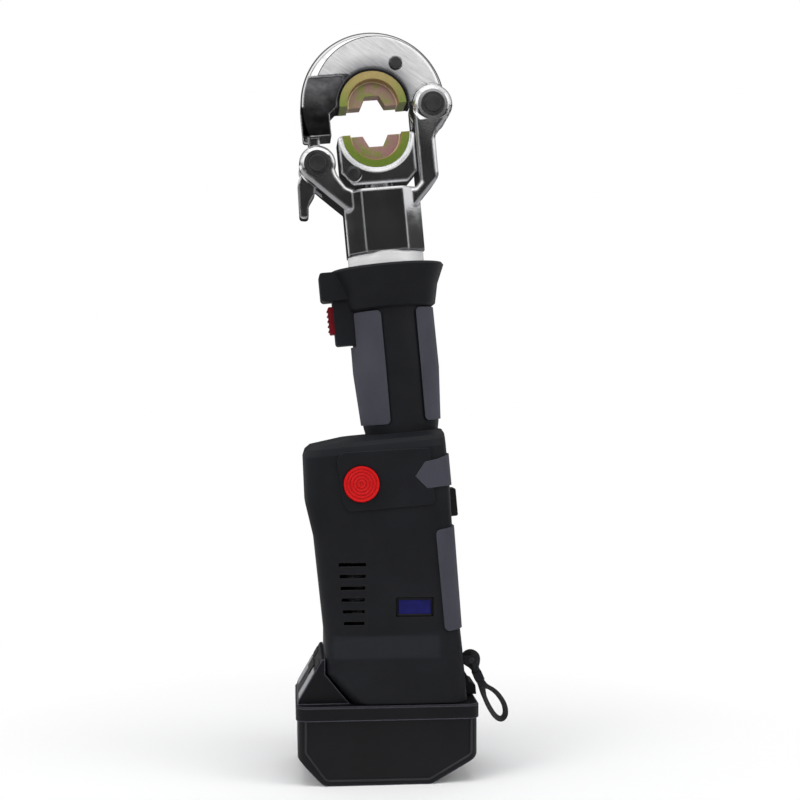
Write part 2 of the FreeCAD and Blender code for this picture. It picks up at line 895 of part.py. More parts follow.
def upper_jaw():
    body = new_body("JawForging")
    hinge = (size.hinge_offset, size.hinge_level)
    half = size.jaw_half_width
    inner = -size.leg_inner
    bottom = size.leg_bottom_level
    ceiling = UPPER_FACE + 0.1
    far = size.jaw_radius + 15
    pad_circle(body, size.jaw_radius, 0, UPPER_FACE, half)
    dress(body, "Chamfer", lambda edge: on_plane(edge, "Y", half.value) or on_plane(edge, "Y", -half.value),
          size.jaw_edge_chamfer)
    pocket_outline(body, [
        (-far, bottom), (inner, bottom), (inner, ceiling - 4), (inner + 4.5, ceiling),
        (far, ceiling), (far, bottom - 40), (-far, bottom - 40),
    ], half + 1)
    pad_outline(body, [
        (-size.jaw_radius, UPPER_FACE + 2), (-size.jaw_radius, bottom, 2), (inner, bottom, 1),
        (inner, UPPER_FACE + 2),
    ], size.leg_half_width)
    pocket_both_faces(body, lambda sketch: outline(sketch, [
        (-far, bottom - 5), (-size.leg_step_inner, bottom - 5),
        (-size.leg_step_inner, size.leg_step_level, 2), (-far, size.leg_step_level),
    ]), half, half - size.leg_half_width)
    pad_circle(body, size.knuckle_radius, hinge[0], hinge[1], size.knuckle_half_width)
    pocket_both_faces(body, lambda sketch: circle(sketch, size.hinge_eye_radius + 0.6, hinge[0], hinge[1]),
                      half, half - size.knuckle_half_width)
    through_hole(body, SEAT_RADIUS, 0, UPPER_FACE, half)
    pocket_both_faces(body, lambda sketch: circle(sketch, SEAT_RADIUS + size.seat_rim_width, 0, UPPER_FACE),
                      half, size.seat_rim_depth)
    pocket_outline(body, [
        (-far, bottom - 1), (inner - size.tooth_reach, bottom - 1),
        (inner - size.tooth_reach, TOOTH_TOP), (inner - size.notch_wall, TOOTH_TOP),
        (inner - size.notch_wall, bottom + size.hook_slot_height, 2), (-far, bottom + size.hook_slot_height),
    ], SLOT_HALF)
    through_hole(body, size.pin_radius + size.bore_gap, hinge[0], hinge[1], half)
    bore_depth = die_pin_room()
    front_hole(body, size.die_pin_radius + size.bore_gap, size.die_pin_offset, UPPER_FACE + size.die_pin_rise,
               half, bore_depth + 0.2)
    stand(cut("upper_jaw", body, detent_bore(upper=True)))


def die(label, upper):
    """A half-disc die, drawn with its face on w = 0 and its round side down."""
    body = new_body("DieBlank")
    half = size.die_half_width
    big = size.die_radius + 5
    pad_circle(body, size.die_radius, 0, 0, half)
    pocket_outline(body, [(-big, 0), (big, 0), (big, big), (-big, big)], half + 1)
    pocket_both_faces(body, lambda sketch: circle(sketch, size.die_web_radius, 0, 0),
                      half, half - size.die_web_half_width)
    pocket_outline(body, [
        (-size.notch_mouth / 2, 1), (-size.notch_mouth / 2, 0),
        (-size.notch_flat / 2, -size.notch_depth), (size.notch_flat / 2, -size.notch_depth),
        (size.notch_mouth / 2, 0), (size.notch_mouth / 2, 1),
    ], half)
    dimple = die_hole(size.detent_radius + size.bore_gap, DETENT_INNER - 0.3, size.die_radius + 1)
    item = cut(label, body, dimple)
    stand(item, 0, 0, UPPER_FACE if upper else LOWER_FACE, HALF_TURN if upper else Rotation())


def die_detent(label, upper):
    plug = die_hole(size.detent_radius, DETENT_INNER, DETENT_OUTER)
    item = together(label, [plug])
    stand(item, 0, 0, UPPER_FACE if upper else LOWER_FACE, HALF_TURN if upper else Rotation())


def die_pin(label, u, w, face_half_width):
    """Push pin with a waist that lets the detent drop back when it is pressed."""
    full = size.die_pin_radius
    waist = size.die_pin_neck_radius
    front = size.die_pin_length
    middle = face_half_width + size.die_pin_stand_out
    waist_low = front - middle + size.detent_radius + 0.2
    waist_high = waist_low + size.die_pin_travel
    body = turned(label, [
        (0, 0), (full, 0), (full, waist_low), (waist, waist_low), (waist, waist_high),
        (full, waist_high), (full, front - 0.6), (full - 0.6, front), (0, front),
    ])
    stand(body, u, front - middle, w, FRONTWARD)


def die_pin_spring(label, u, w, face_half_width):
    """Return spring of a die pin, at its pressed length on the end of the pin."""
    start = size.die_pin_length - face_half_width - size.die_pin_stand_out + size.die_pin_spring_length
    body = turned(label, tube(2.0, size.die_pin_radius - 0.6, 0, size.die_pin_spring_length))
    stand(body, u, start, w, FRONTWARD)


# Ram, piston and cylinder parts.

def ram_die_seat():
    body = new_body("RamBlock")
    wide = ARM_INNER - size.ram_side_gap
    top = LOWER_FACE - 0.3
    low = size.ram_bottom_level
    corner = size.ram_corner
    half = size.ram_half_width
    pad_outline(body, [
        (-wide, top - 1.5), (-wide, low + corner + 1.5, 2), (-wide + corner, low, 2),
        (wide - corner, low, 2), (wide, low + corner, 2), (wide, top - 1.5),
        (wide - 1.5, top), (1.5 - wide, top),
    ], half)
    rims = (half.value, -half.value)
    dress(body, "Chamfer", lambda edge: any(on_plane(edge, "Y", rim) for rim in rims), 1.0)
    through_hole(body, SEAT_RADIUS, 0, LOWER_FACE, half)
    pocket_both_faces(body, lambda sketch: circle(sketch, SEAT_RADIUS + size.seat_rim_width, 0, LOWER_FACE),
                      half, size.seat_rim_depth)
    turn_profile(body, rod(size.rod_radius + size.bore_gap, low - 1, low + size.rod_socket_depth), cut=True)
    bore_depth = die_pin_room()
    front_hole(body, size.die_pin_radius + size.bore_gap, -size.die_pin_offset, LOWER_FACE - size.die_pin_rise,
               half, bore_depth + 0.2)
    stand(cut("ram_die_seat", body, detent_bore(upper=False)))


def piston():
    radius = size.cylinder_radius - size.bore_gap
    low = size.piston_bottom_level
    groove = low + 4
    groove_top = groove + size.seal_height + 0.1
    top = low + size.piston_height
    rod_top = size.ram_bottom_level + size.rod_socket_depth - 0.1
    stand(turned("piston", [
        (0, low), (radius, low), (radius, groove), (radius - size.seal_depth, groove),
        (radius - size.seal_depth, groove_top), (radius, groove_top), (radius, top),
        (size.rod_radius, top), (size.rod_radius, rod_top), (0, rod_top),
    ]))
    seal_inner = radius - size.seal_depth + size.bore_gap
    seal_low = groove + size.bore_gap
    stand(turned("piston_seal", tube(seal_inner, radius, seal_low, seal_low + size.seal_height)))


def return_spring():
    """Piston return spring, drawn as the sleeve that its coils fill."""
    low = size.piston_bottom_level + size.piston_height + size.bore_gap
    top = size.cylinder_roof_level - size.bore_gap
    stand(turned("piston_return_spring", tube(size.return_spring_inner, size.return_spring_outer, low, top)))


def cylinder_plug():
    low = size.spigot_bottom_level
    radius = size.cylinder_radius - size.bore_gap
    stand(turned("cylinder_plug", tube(size.feed_bore_radius, radius, low, low + size.plug_height)))


def swivel_collar():
    inner = size.spigot_radius + size.running_gap
    top = size.neck_bottom_level - size.running_gap
    flange_top = GUARD_ROOF - size.running_gap
    low = flange_top - size.collar_flange_height
    stand(turned("swivel_collar", [
        (inner, low), (size.collar_flange_radius, low), (size.collar_flange_radius, flange_top),
        (size.collar_radius, flange_top), (size.collar_radius, top), (inner, top),
    ]))


# Housing: one outer form, hollowed by the same form drawn a wall smaller.

def body_sections(inset):
    """Level, left, right and half depth of the lower body's cross sections."""
    skirt = size.skirt_half_depth - inset
    deep = size.body_half_depth - inset
    low_right = size.body_right_low - inset
    top_right = size.body_right_top - inset
    return [
        (size.foot_level, size.body_left_foot - inset, low_right, skirt),
        (size.skirt_knee_level, size.body_left_skirt - inset, low_right, skirt),
        (size.facet_bottom_level, size.body_left_skirt - inset, low_right, skirt),
        (size.facet_top_level, size.body_left_low - inset, low_right, deep),
        (size.waist_level, size.body_left_waist - inset, low_right + 1, deep),
        (size.bulge_level, size.body_left_bulge - inset, top_right, deep),
        (size.body_top_level - inset / 2, size.body_left_top - inset, top_right, deep),
        (size.body_top_level + size.shoulder_rise_first - inset, size.body_left_top - 1.8 - inset,
         top_right, deep - 1.2),
        (size.body_top_level + size.shoulder_rise_second - inset, size.body_left_top - 5.5 - inset,
         top_right, deep - 3.5),
        (size.shoulder_level - inset, size.body_left_top - 26, top_right - 1, deep - 9),
    ]


def housing_form(label, inset):
    body = new_body(label)
    inset = as_dim(inset)
    sections = []
    for level, left, right, deep in body_sections(inset):
        sketch = new_sketch(body, "XY", level)
        corner = size.body_corner - inset
        outline(sketch, [
            (-left, -deep, corner), (right, -deep, corner), (right, deep, corner), (-left, deep, corner),
        ])
        sections.append(sketch)
    loft = body.newObject("PartDesign::AdditiveLoft", "LowerBody")
    loft.Profile = sections[0]
    loft.Sections = sections[1:]
    loft.Ruled = True
    return body


def grip_form(label, inset):
    """The barrel and the flared guard, with the hood and the trigger block at their left."""
    body = new_body(label)
    inset = as_dim(inset)
    waist = size.guard_waist_radius - inset
    turn_profile(body, [
        (0, size.barrel_neck_level - 8),
        (size.barrel_neck_radius - inset, size.barrel_neck_level - 8),
        (size.barrel_neck_radius - inset, size.barrel_neck_level + 4),
        (size.barrel_low_radius - inset, size.barrel_low_level),
        (size.barrel_middle_radius - inset, size.barrel_middle_level),
        (size.barrel_top_radius - inset, size.guard_bottom_level - 2),
        (waist, size.guard_bottom_level),
        (waist + 2.7, size.guard_bottom_level + 13),
        (size.guard_rim_radius - inset, size.guard_rim_level - inset - 1.5),
        (size.guard_rim_radius - inset - 1, size.guard_rim_level - inset),
        (0, size.guard_rim_level - inset),
    ])
    pad_outline(body, [
        (-size.hood_outer + inset, size.hood_bottom_level + inset, 2.5),
        (-size.hood_outer + inset, size.hood_top_level - inset, 2),
        (-18, size.hood_top_level - inset),
        (-18, size.hood_bottom_level + inset),
    ], size.hood_half_width - inset)
    pad_outline(body, [
        (-size.trigger_block_outer + inset, size.trigger_block_bottom_level + inset, 2),
        (-size.trigger_block_outer + inset, size.hood_bottom_level + 4),
        (-18, size.hood_bottom_level + 4),
        (-18, size.trigger_block_bottom_level + inset),
    ], size.trigger_block_half_width - inset)
    return body


def from_level(x, z):
    """The u and w of a place given in the part's own frame."""
    along = as_dim(x) - size.axis_foot
    up = as_dim(z)
    return along * LEAN_COSINE + up * LEAN_SINE, up * LEAN_COSINE - along * LEAN_SINE


def level_box(x_low, x_high, y_low, y_high, z_low, z_high):
    """A box that is level in the part's own frame, drawn in the leaning frame."""
    item = box(0, as_dim(x_high) - x_low, 0, as_dim(y_high) - y_low, 0, as_dim(z_high) - z_low)
    u, w = from_level(x_low, z_low)
    move(item, u, y_low, w, LEVEL)
    return item


def level_window(u, w, length, height, y_low, y_high):
    """A level box given by the middle of its face in the leaning frame."""
    half_length = as_dim(length) / 2
    half_height = as_dim(height) / 2
    item = box(0, length, 0, as_dim(y_high) - y_low, 0, height)
    move(item, as_dim(u) - half_length * LEAN_COSINE - half_height * LEAN_SINE, y_low,
         as_dim(w) + half_length * LEAN_SINE - half_height * LEAN_COSINE, LEVEL)
    return item


SCREW_PLACES = [
    (-55, 212, "body"), (18, 208, "body"), (-8, 152, "body"), (17, 152, "body"),
    (-57, 78, "body"), (-12, 76, "body"), (16, 76, "body"), (15, 300, "grip"), (15, 229, "grip"),
]


def screw_seat(kind):
    return size.body_screw_seat if kind == "body" else size.grip_screw_seat


def vent_slots(y_low, y_high):
    """Slots one above the other, with their left ends in line."""
    slots = []
    for number in range(int(SIZES["vent_count"])):
        length = size.vent_length - size.vent_shrink * number
        slots.append(level_window(
            length / 2 - size.vent_left, size.vent_top_level - size.vent_pitch * number,
            length, size.vent_height, y_low, y_high))
    return fuse("VentSlots", *slots)


def rear_foot():
    """The heel behind the body, over the battery's far end."""
    right = size.body_right_low
    return plate("RearFoot", [
        (right - 4, 63), (right + 2.5, 63, 1.5), (right + 4, 57, 2),
        (right + size.rear_foot_reach, 54.5, 1), (right + size.rear_foot_reach, 40), (right - 4, 40),
    ], size.rear_foot_half_width * 2)


def raised_panel():
    """The low step on the front face that carries the red button."""
    body = new_body("RaisedPanel")
    sketch = new_sketch(body, "XZ", size.body_half_depth - size.wall)
    outline(sketch, [(-46.2, 216.5, 6), (-43.6, 178.5, 6), (14.2, 178, 3), (14.2, 214.2, 3)])
    pad(body, sketch, size.wall + size.panel_rise)
    return body


def arrow_outline(grow):
    """The arrow pad's outline, drawn a little larger for its recess."""
    return plate("ArrowOutline", [
        (3.1 - grow * 1.3, 197), (10.3 - grow * 0.4, 205.8 + grow, 1), (18, 206.5 + grow, 3),
        (40, 212 + grow), (40, 188 - grow), (18, 188.8 - grow, 3), (10.3 - grow * 0.4, 188.4 - grow, 1),
    ], FAR)


def shell_parts(side):
    """Ribs, bosses and posts inside one half; side is -1 for the front and 1 for the back."""
    pieces = []
    turn = FRONTWARD if side < 0 else FRONTWARD.inverted()
    depth = INNER_FRONT + 0.6
    skirt_depth = depth + size.skirt_half_depth - size.body_half_depth
    for u, w, kind in SCREW_PLACES:
        wall_reach = skirt_depth if w < size.facet_top_level.value else depth
        reach = wall_reach if kind == "body" else size.barrel_low_radius - 4
        pieces.append(cylinder(size.boss_radius, reach, u, 0, w, turn))
    for level, radius in ((125, size.motor_radius), (150, size.motor_radius + 0.5)):
        low = -depth if side < 0 else as_dim(0)
        rib = box(-size.drive_offset - 24.5, -size.drive_offset + 20, low, low + depth, level, level + 2.2)
        bore = cylinder(radius + size.running_gap, 10, -size.drive_offset, 0, level - 4)
        pieces.append(cut("Rib", rib, bore))
    for u, w in ((-2, 168), (-2, 205)):
        start = size.pump_half_width + size.running_gap
        pieces.append(cylinder(4, depth - start, u, start * side, w, turn))
    start = 7.0 + size.running_gap
    low = -start - 12.5 if side < 0 else start
    pieces.append(box(-22, -15, low, low + 12.5, 297, 300))
    return pieces


def housing_half(label, side, outside, inner_lower, inner_grip):
    """One clamshell: the hollow form cut along the middle, with its inner ribs and bosses."""
    halfspace_low = -FAR if side < 0 else as_dim(0)
    keep = box(-FAR, FAR, halfspace_low, halfspace_low + FAR, 0, FAR * 3)
    shell = cut("Shell", outside, inner_lower, inner_grip)
    half = common("Half", shell, keep)
    if side < 0:
        half = fuse("FrontWithEars", half, *strap_cheeks())
    pieces = shell_parts(side)
    if side < 0:
        for u, w in ((-10, 90), (12, 138)):
            start = INNER_FRONT - size.board_depth + size.bore_gap
            reach = INNER_FRONT + 2 - start
            pieces.append(cylinder(3, reach, u, -start, w, FRONTWARD))
    solid = fuse("Filled", half, common("Ribs", fuse("RibsUncut", *pieces), outside))
    gap = size.running_gap
    tools = [
        level_box(-FAR, FAR, -FAR, FAR, -50, SKIRT_LEVEL),
        level_box(-60, 0, -size.tongue_half_width - 0.6, size.tongue_half_width + 0.6,
                  SKIRT_LEVEL - 1, TONGUE_TOP + 0.6),
        cylinder(size.collar_radius + gap, 12, 0, 0, size.guard_rim_level - 8),
        box(-size.hood_outer - 5, -30, -size.trigger_face_half_width - gap,
            size.trigger_face_half_width + gap, size.trigger_bottom_level - gap,
            size.trigger_top_level + gap),
    ]
    if side < 0:
        bar_u, bar_w = from_level(size.strap_bar_x, size.strap_bar_z)
        tools += [
            cylinder(size.strap_bar_radius + size.bore_gap, 14, bar_u, -9, bar_w, FRONTWARD),
            vent_slots(-size.body_half_depth - 3, -INNER_FRONT + 1),
            cylinder(size.button_radius + gap, 12, -size.button_offset, -INNER_FRONT + 2, size.button_level,
                     FRONTWARD),
            level_window(-size.window_offset, size.window_level, size.window_length + 0.4,
                         size.window_height + 0.4, -size.body_half_depth - 3, -INNER_FRONT + 1),
            level_window(-size.window_offset, size.window_level, size.window_length + size.window_border * 2,
                         size.window_height + size.window_border * 2, -size.body_half_depth - 3,
                         size.window_sink - size.body_half_depth),
        ]
    else:
        tools.append(vent_slots(INNER_FRONT - 1, size.body_half_depth + 3))
    for u, w, kind in SCREW_PLACES:
        hole = size.screw_radius + size.bore_gap
        if side < 0:
            tools.append(cylinder(hole, 12, u, 0, w, FRONTWARD))
        else:
            tools.append(cylinder(hole, 40, u, -1, w, FRONTWARD.inverted()))
            tools.append(cylinder(size.screw_head_radius + gap, 30, u, screw_seat(kind), w,
                                  FRONTWARD.inverted()))
    tools.append(arrow_recess(side))
    stand(cut(label, solid, *tools))


def arrow_recess(side):
    """Clears the raised panel from under the arrow pad."""
    low = -FAR if side < 0 else size.body_half_depth
    block = box(0, 40, low, low + FAR - size.body_half_depth, 180, 220)
    return common("ArrowRecess", arrow_outline(0.3), block)


def housing():
    outer_lower = housing_form("OuterLower", 0)
    outer_grip = grip_form("OuterGrip", 0)
    outside = fuse("Outside", outer_lower, outer_grip, rear_foot(), raised_panel())
    inner_lower = housing_form("InnerLower", size.wall)
    inner_grip = grip_form("InnerGrip", size.wall)
    housing_half("housing_front", -1, outside, inner_lower, inner_grip)
    housing_half("housing_back", 1, outside, inner_lower, inner_grip)


def housing_screws():
    screws = []
    for u, w, kind in SCREW_PLACES:
        seat = screw_seat(kind) + size.bore_gap
        head = cylinder(size.screw_head_radius, size.screw_head_height, u, seat + size.screw_head_height, w,
                        FRONTWARD)
        shank = cylinder(size.screw_radius, seat + 10, u, seat, w, FRONTWARD)
        screws.append(fuse("Screw", head, shank))
    stand(together("housing_screws", screws))


# Soft pads let onto the housing.

def soft_pads():
    seat = -size.bore_gap
    face = seat - size.pad_rise
    grip_skin = cut("GripSkin", grip_form("GripSkinOuter", face), grip_form("GripSkinInner", seat))
    body_skin = cut("BodySkin", housing_form("BodySkinOuter", face), housing_form("BodySkinInner", seat))
    corner = size.pad_corner
    low = size.grip_pad_bottom_level
    top = size.grip_pad_top_level
    left = plate("LeftPadOutline", [
        (-45, low), (-size.left_pad_edge, low, corner), (-size.left_pad_edge, top, corner), (-45, top),
    ], FAR)
    room = size.trigger_block_half_width + size.pad_rise + 0.4
    block_room = box(-60, -18, -room, room, size.trigger_block_bottom_level - size.pad_rise - 0.4, top + 5)
    hood_room = box(-60, -34, -size.hood_half_width - 3, size.hood_half_width + 3, 290, top + 5)
    stand(cut("grip_pad_left", common("LeftPad", grip_skin, left), block_room, hood_room))
    right = plate("RightPadOutline", [
        (size.right_pad_edge, low, corner), (45, low), (45, top), (size.right_pad_edge, top, corner),
    ], FAR)
    stand(common("grip_pad_right", grip_skin, right))
    rear = plate("RearPadOutline", [
        (size.rear_pad_edge, size.rear_pad_bottom_level, corner), (45, size.rear_pad_bottom_level),
        (45, size.rear_pad_top_level + 2), (size.rear_pad_edge, size.rear_pad_top_level, corner),
    ], FAR)
    stand(common("rear_pad", body_skin, rear))
    front_only = box(-FAR, FAR, -FAR, size.body_half_depth - 14, 0, FAR * 2)
    arrow = common("ArrowPiece", body_skin, arrow_outline(0))
    stand(common("arrow_pad", arrow, front_only))


# Controls.

def trigger():
    face = -size.trigger_block_outer - size.trigger_stand_out
    back = -size.trigger_block_outer + size.wall + size.running_gap
    low = size.trigger_bottom_level
    top = size.trigger_top_level
    blade = plate("TriggerBlade", [
        (face, low, 0.8), (back + 1, low), (back + 1, top), (face, top, 0.8),
    ], size.trigger_face_half_width * 2)
    flange = box(back, back + 4, -size.trigger_face_half_width - 1.8, size.trigger_face_half_width + 1.8,
                 low - 2.5, top + 1.2)
    ribs = []
    for number in range(5):
        level = low + 2.4 + (top - low - 4.8) / 4 * number
        ribs.append(cylinder(size.trigger_rib_height, size.trigger_face_half_width * 2, face,
                             size.trigger_face_half_width, level, FRONTWARD))
    stand(fuse("trigger", blade, flange, *ribs))


def trigger_switch():
    """Microswitch behind the trigger, with its plunger towards it."""
    case = box(-26.0, -12.5, -7, 7, 289.5, 311.5)
    plunger = cylinder(1.5, 1.6, -27.6, 0, 302, RIGHTWARD)
    stand(fuse("trigger_switch", case, plunger))
    start = -size.trigger_block_outer + size.wall + size.running_gap + 4
    spring = turned("trigger_spring", tube(2.2, 3.4, 0.05, 2.4))
    stand(spring, start, 0, 302, RIGHTWARD)


def release_button():
    front = size.body_half_depth + size.panel_rise + size.button_stand_out
    flange = INNER_FRONT - size.running_gap
    back = flange - size.button_flange
    stem_end = size.pump_half_width + size.button_travel + 1.0
    radius = size.button_radius
    rings = []
    for ring in (9.0, 6.6, 4.2):
        rings += [(ring, front), (ring - 0.5, front - 0.6), (ring - 1.0, front)]
    body = turned("release_button", [
        (0, stem_end), (3, stem_end), (3, back), (radius + 1.3, back), (radius + 1.3, flange),
        (radius, flange), (radius, front - 1), (radius - 1, front),
    ] + rings + [(0, front)])
    stand(body, -size.button_offset, 0, size.button_level, FRONTWARD)
    spring = turned("release_button_spring", tube(4, 5.4, stem_end - 0.5, back - 0.05))
    stand(spring, -size.button_offset, 0, size.button_level, FRONTWARD)
    valve = turned("release_valve", [
        (0, 6), (size.valve_radius, 6), (size.valve_radius, size.pump_half_width + 0.3),
        (2, size.pump_half_width + 0.3), (2, size.pump_half_width + 0.7), (0, size.pump_half_width + 0.7),
    ])
    stand(valve, -size.button_offset, 0, size.button_level, FRONTWARD)


def indicator():
    """Indicator window, level like the battery under it, with the board behind it."""
    front = size.window_sink * 0.5 - size.body_half_depth
    lens = level_window(-size.window_offset, size.window_level, size.window_length, size.window_height,
                        front, size.board_depth - INNER_FRONT - 0.3)
    stand(together("indicator_lens", [lens]))
    face = size.board_depth - INNER_FRONT
    board = box(-size.board_left, size.board_right, face, face + size.board_thickness,
                size.board_bottom_level, size.board_top_level)
    parts = [
        box(-8, 8, face + size.board_thickness, face + size.board_thickness + 3, 96, 110),
        box(-10, -2, face + size.board_thickness, face + size.board_thickness + 6, 120, 132),
    ]
    stand(fuse("circuit_board", board, *parts))


def rear_lug():
    """Small block on the back edge of the body, above the lower soft pad."""
    inner = size.body_right_top + 0.05
    item = plate("rear_lug", [
        (inner, size.lug_bottom_level), (size.lug_reach, size.lug_bottom_level, 1.2),
        (size.lug_reach, size.lug_top_level, 1.2), (inner, size.lug_top_level),
    ], size.lug_half_width * 2)
    stand(item)


# Motor, planetary gearbox and pump.

def gear(label, teeth, bore_radius, bottom, phase, internal=False):
    """A gear blank with one tooth and its polar pattern, standing on the given level."""
    body = new_body(label)
    module = size.gear_module
    pitch = module * teeth / 2
    quarter = module * math.pi / 2 * size.tooth_share
    sign = -1 if internal else 1
    root = pitch - module * (1.2 * sign)
    tip = pitch + module * (0.85 * sign)
    if internal:
        turn_profile(body, tube(root, bore_radius, bottom, bottom + size.gear_width))
    else:
        turn_profile(body, tube(bore_radius, root, bottom, bottom + size.gear_width))
    tooth = new_sketch(body, "XY", bottom)
    start = root - 0.4 * sign
    wide = quarter * 1.55
    narrow = quarter * 0.5
    outline(tooth, [(start, -wide), (tip, -narrow), (tip, narrow), (start, wide)])
    one = pad(body, tooth, size.gear_width)
    pattern = body.newObject("PartDesign::PolarPattern", "Teeth")
    pattern.Originals = [one]
    pattern.Axis = (tooth, ["N_Axis"])
    pattern.Angle = 360
    bind(pattern, "Occurrences", teeth)
    body.Tip = pattern
    return body, Rotation(Vector(0, 0, 1), phase)


def planet_angles():
    return [90, 210, 330]


def planet_phase(angle):
    """Turns a planet so that its tooth gap meets the sun's tooth at the given angle."""
    sun = SIZES["sun_teeth"]
    planet = SIZES["planet_teeth"]
    return angle + 180 - 360 / planet * (0.5 - sun * angle / 360)


def ring_phase():
    """Turns the ring gear so that its tooth gaps meet the planets' teeth."""
    angle = planet_angles()[0]
    planet = SIZES["planet_teeth"]
    ring = SIZES["ring_teeth"]
    return angle - 360 / ring * (0.5 + planet * (angle - planet_phase(angle)) / 360)


def motor():
    drive = -size.drive_offset
    low = size.motor_bottom_level
    top = size.motor_top_level
    inner = size.motor_radius - size.motor_wall
    stand(turned("motor_can", [
        (inner, low), (size.motor_radius, low), (size.motor_radius, top), (size.shaft_radius + 0.3, top),
        (size.shaft_radius + 0.3, top - 2), (inner, top - 2),
    ]), drive)
    cap_low = low - size.motor_cap_height
    stand(turned("motor_cap", [
        (size.shaft_radius + 0.3, cap_low - 4), (8, cap_low - 4), (8, cap_low), (size.motor_radius, cap_low),
        (size.motor_radius, low - 0.05), (size.shaft_radius + 0.3, low - 0.05),
    ]), drive)
    rotor = turned("RotorCore", [
        (0, cap_low - 2), (size.shaft_radius, cap_low - 2), (size.shaft_radius, low + 3),
        (size.rotor_radius, low + 3), (size.rotor_radius, top - 5), (size.shaft_radius, top - 5),
        (size.shaft_radius, size.gear_bottom_level + 0.5), (0, size.gear_bottom_level + 0.5),
    ])
    pinion, turn = gear("SunPinion", size.sun_teeth, as_dim(0), size.gear_bottom_level, 0)
    stand(fuse("motor_rotor", rotor, pinion), drive)


def gearbox():
    drive = -size.drive_offset
    outer = size.motor_radius + 0.5
    low = size.motor_top_level + 0.3
    top = size.gearbox_top_level
    gear_low = size.gear_bottom_level
    gear_top = gear_low + size.gear_width
    root = size.gear_module * (size.ring_teeth / 2 + 1.2)
    teeth, turn = gear("RingTeeth", size.ring_teeth, root + 0.8, gear_low, ring_phase(), internal=True)
    move(teeth, 0, 0, 0, turn)
    shaft = 6 + size.bore_gap
    case = turned("GearCase", [
        (root + 0.4, low), (outer, low), (outer, top), (shaft, top), (shaft, top - 4), (root + 0.4, top - 4),
    ])
    stand(fuse("gearbox_case", case, teeth), drive)
    orbit = size.gear_module * (size.sun_teeth + size.planet_teeth) / 2
    for number, angle in enumerate(planet_angles(), start=1):
        planet, turn = gear(f"planet_gear_{number}", size.planet_teeth,
                            size.planet_pin_radius + size.bore_gap, gear_low, planet_phase(angle))
        direction = math.radians(angle)
        stand(planet, drive + orbit * math.cos(direction), orbit * math.sin(direction), 0, turn)
    disc_low = gear_top + 0.5
    disc_top = disc_low + size.carrier_thickness
    carrier = turned("CarrierDisc", [
        (0, disc_low), (size.carrier_radius, disc_low), (size.carrier_radius, disc_top), (6, disc_top),
        (6, top + 1.2), (0, top + 1.2),
    ])
    pins = []
    for angle in planet_angles():
        direction = math.radians(angle)
        pins.append(cylinder(size.planet_pin_radius, gear_top - gear_low + 1, orbit * math.cos(direction),
                             orbit * math.sin(direction), gear_low))
    eccentric = cylinder(size.eccentric_radius, size.bearing_height + 1, size.eccentric_throw, 0, top + 1)
    stand(fuse("planet_carrier", carrier, eccentric, *pins), drive)
    bearing = turned("eccentric_bearing", tube(size.eccentric_radius + size.bore_gap, size.bearing_radius,
                                               top + 1.5, top + 1.5 + size.bearing_height))
    stand(bearing, drive + size.eccentric_throw)


def pump():
    half = size.pump_half_width
    main = box(-size.pump_left, size.pump_right, -half, half, size.pump_bottom_level, size.pump_top_level)
    arm = box(-size.valve_arm_left, -size.pump_left + 1, -half, half, size.valve_arm_bottom_level,
              size.pump_top_level - 3)
    tip = size.eccentric_throw + size.bearing_radius + size.running_gap - size.drive_offset
    stand(cut("pump_block", fuse("PumpSolid", main, arm),
              cylinder(size.plunger_radius + size.bore_gap, 20, -size.pump_left - 1, 0, size.plunger_level,
                       RIGHTWARD),
              cylinder(size.feed_tube_radius + size.bore_gap, size.feed_socket_depth + 1, 0, 0,
                       size.pump_top_level - size.feed_socket_depth),
              cylinder(size.valve_radius + size.bore_gap, 15, -size.button_offset, -half + 10,
                       size.button_level, FRONTWARD)))
    plunger = turned("pump_plunger", rod(size.plunger_radius, 0, size.plunger_length))
    stand(plunger, tip, 0, size.plunger_level, RIGHTWARD)
    flange_top = size.spigot_bottom_level - size.running_gap
    flange_low = flange_top - size.feed_flange_height
    foot = size.pump_top_level - size.feed_socket_depth + 0.1
    stand(turned("feed_tube", [
        (size.feed_bore_radius, foot), (size.feed_tube_radius, foot), (size.feed_tube_radius, flange_low),
        (size.feed_flange_radius, flange_low), (size.feed_flange_radius, flange_top),
        (size.feed_bore_radius, flange_top),
    ]))
    inner = size.feed_tube_radius + 0.3
    wall = size.reservoir_wall
    low = size.reservoir_bottom_level
    top = size.reservoir_top_level
    outer = size.reservoir_radius
    stand(turned("oil_reservoir", [
        (inner, low), (outer - 6, low), (outer, low + 8), (outer, top - 8), (outer - 6, top), (inner, top),
        (inner, top - wall), (outer - 6, top - wall), (outer - wall, top - 8), (outer - wall, low + 8),
        (outer - 6, low + wall), (inner, low + wall),
    ]))


# Battery pack and the rails that it hangs in.

def pack_plan(label, inset, low, high):
    """The pack's plan with its rounded upright corners."""
    body = new_body(label)
    sketch = new_sketch(body, "XY", low)
    left = size.pack_left - inset
    right = size.pack_right - inset
    deep = size.pack_half_depth - inset
    corner = size.pack_corner - inset * 0.8
    outline(sketch, [
        (-left, -deep, corner), (right, -deep, corner), (right, deep, corner), (-left, deep, corner),
    ])
    pad(body, sketch, high - low)
    return body


def pack_profile(label, inset, top):
    """The pack's front outline, with its lower corners cut away."""
    inset = as_dim(inset)
    low = inset
    return plate(label, [
        (-size.pack_left + inset, as_dim(top)),
        (-size.pack_left + inset, size.pack_left_cut_high + inset * 0.6, size.pack_cut_round),
        (-size.pack_left_cut_low + inset * 0.9, low, size.pack_cut_round),
        (size.pack_right_cut_low - inset * 0.6, low, size.pack_cut_round),
        (size.pack_right - inset, size.pack_right_cut_high + inset * 0.8, size.pack_cut_round),
        (size.pack_right - inset, as_dim(top)),
    ], FAR)


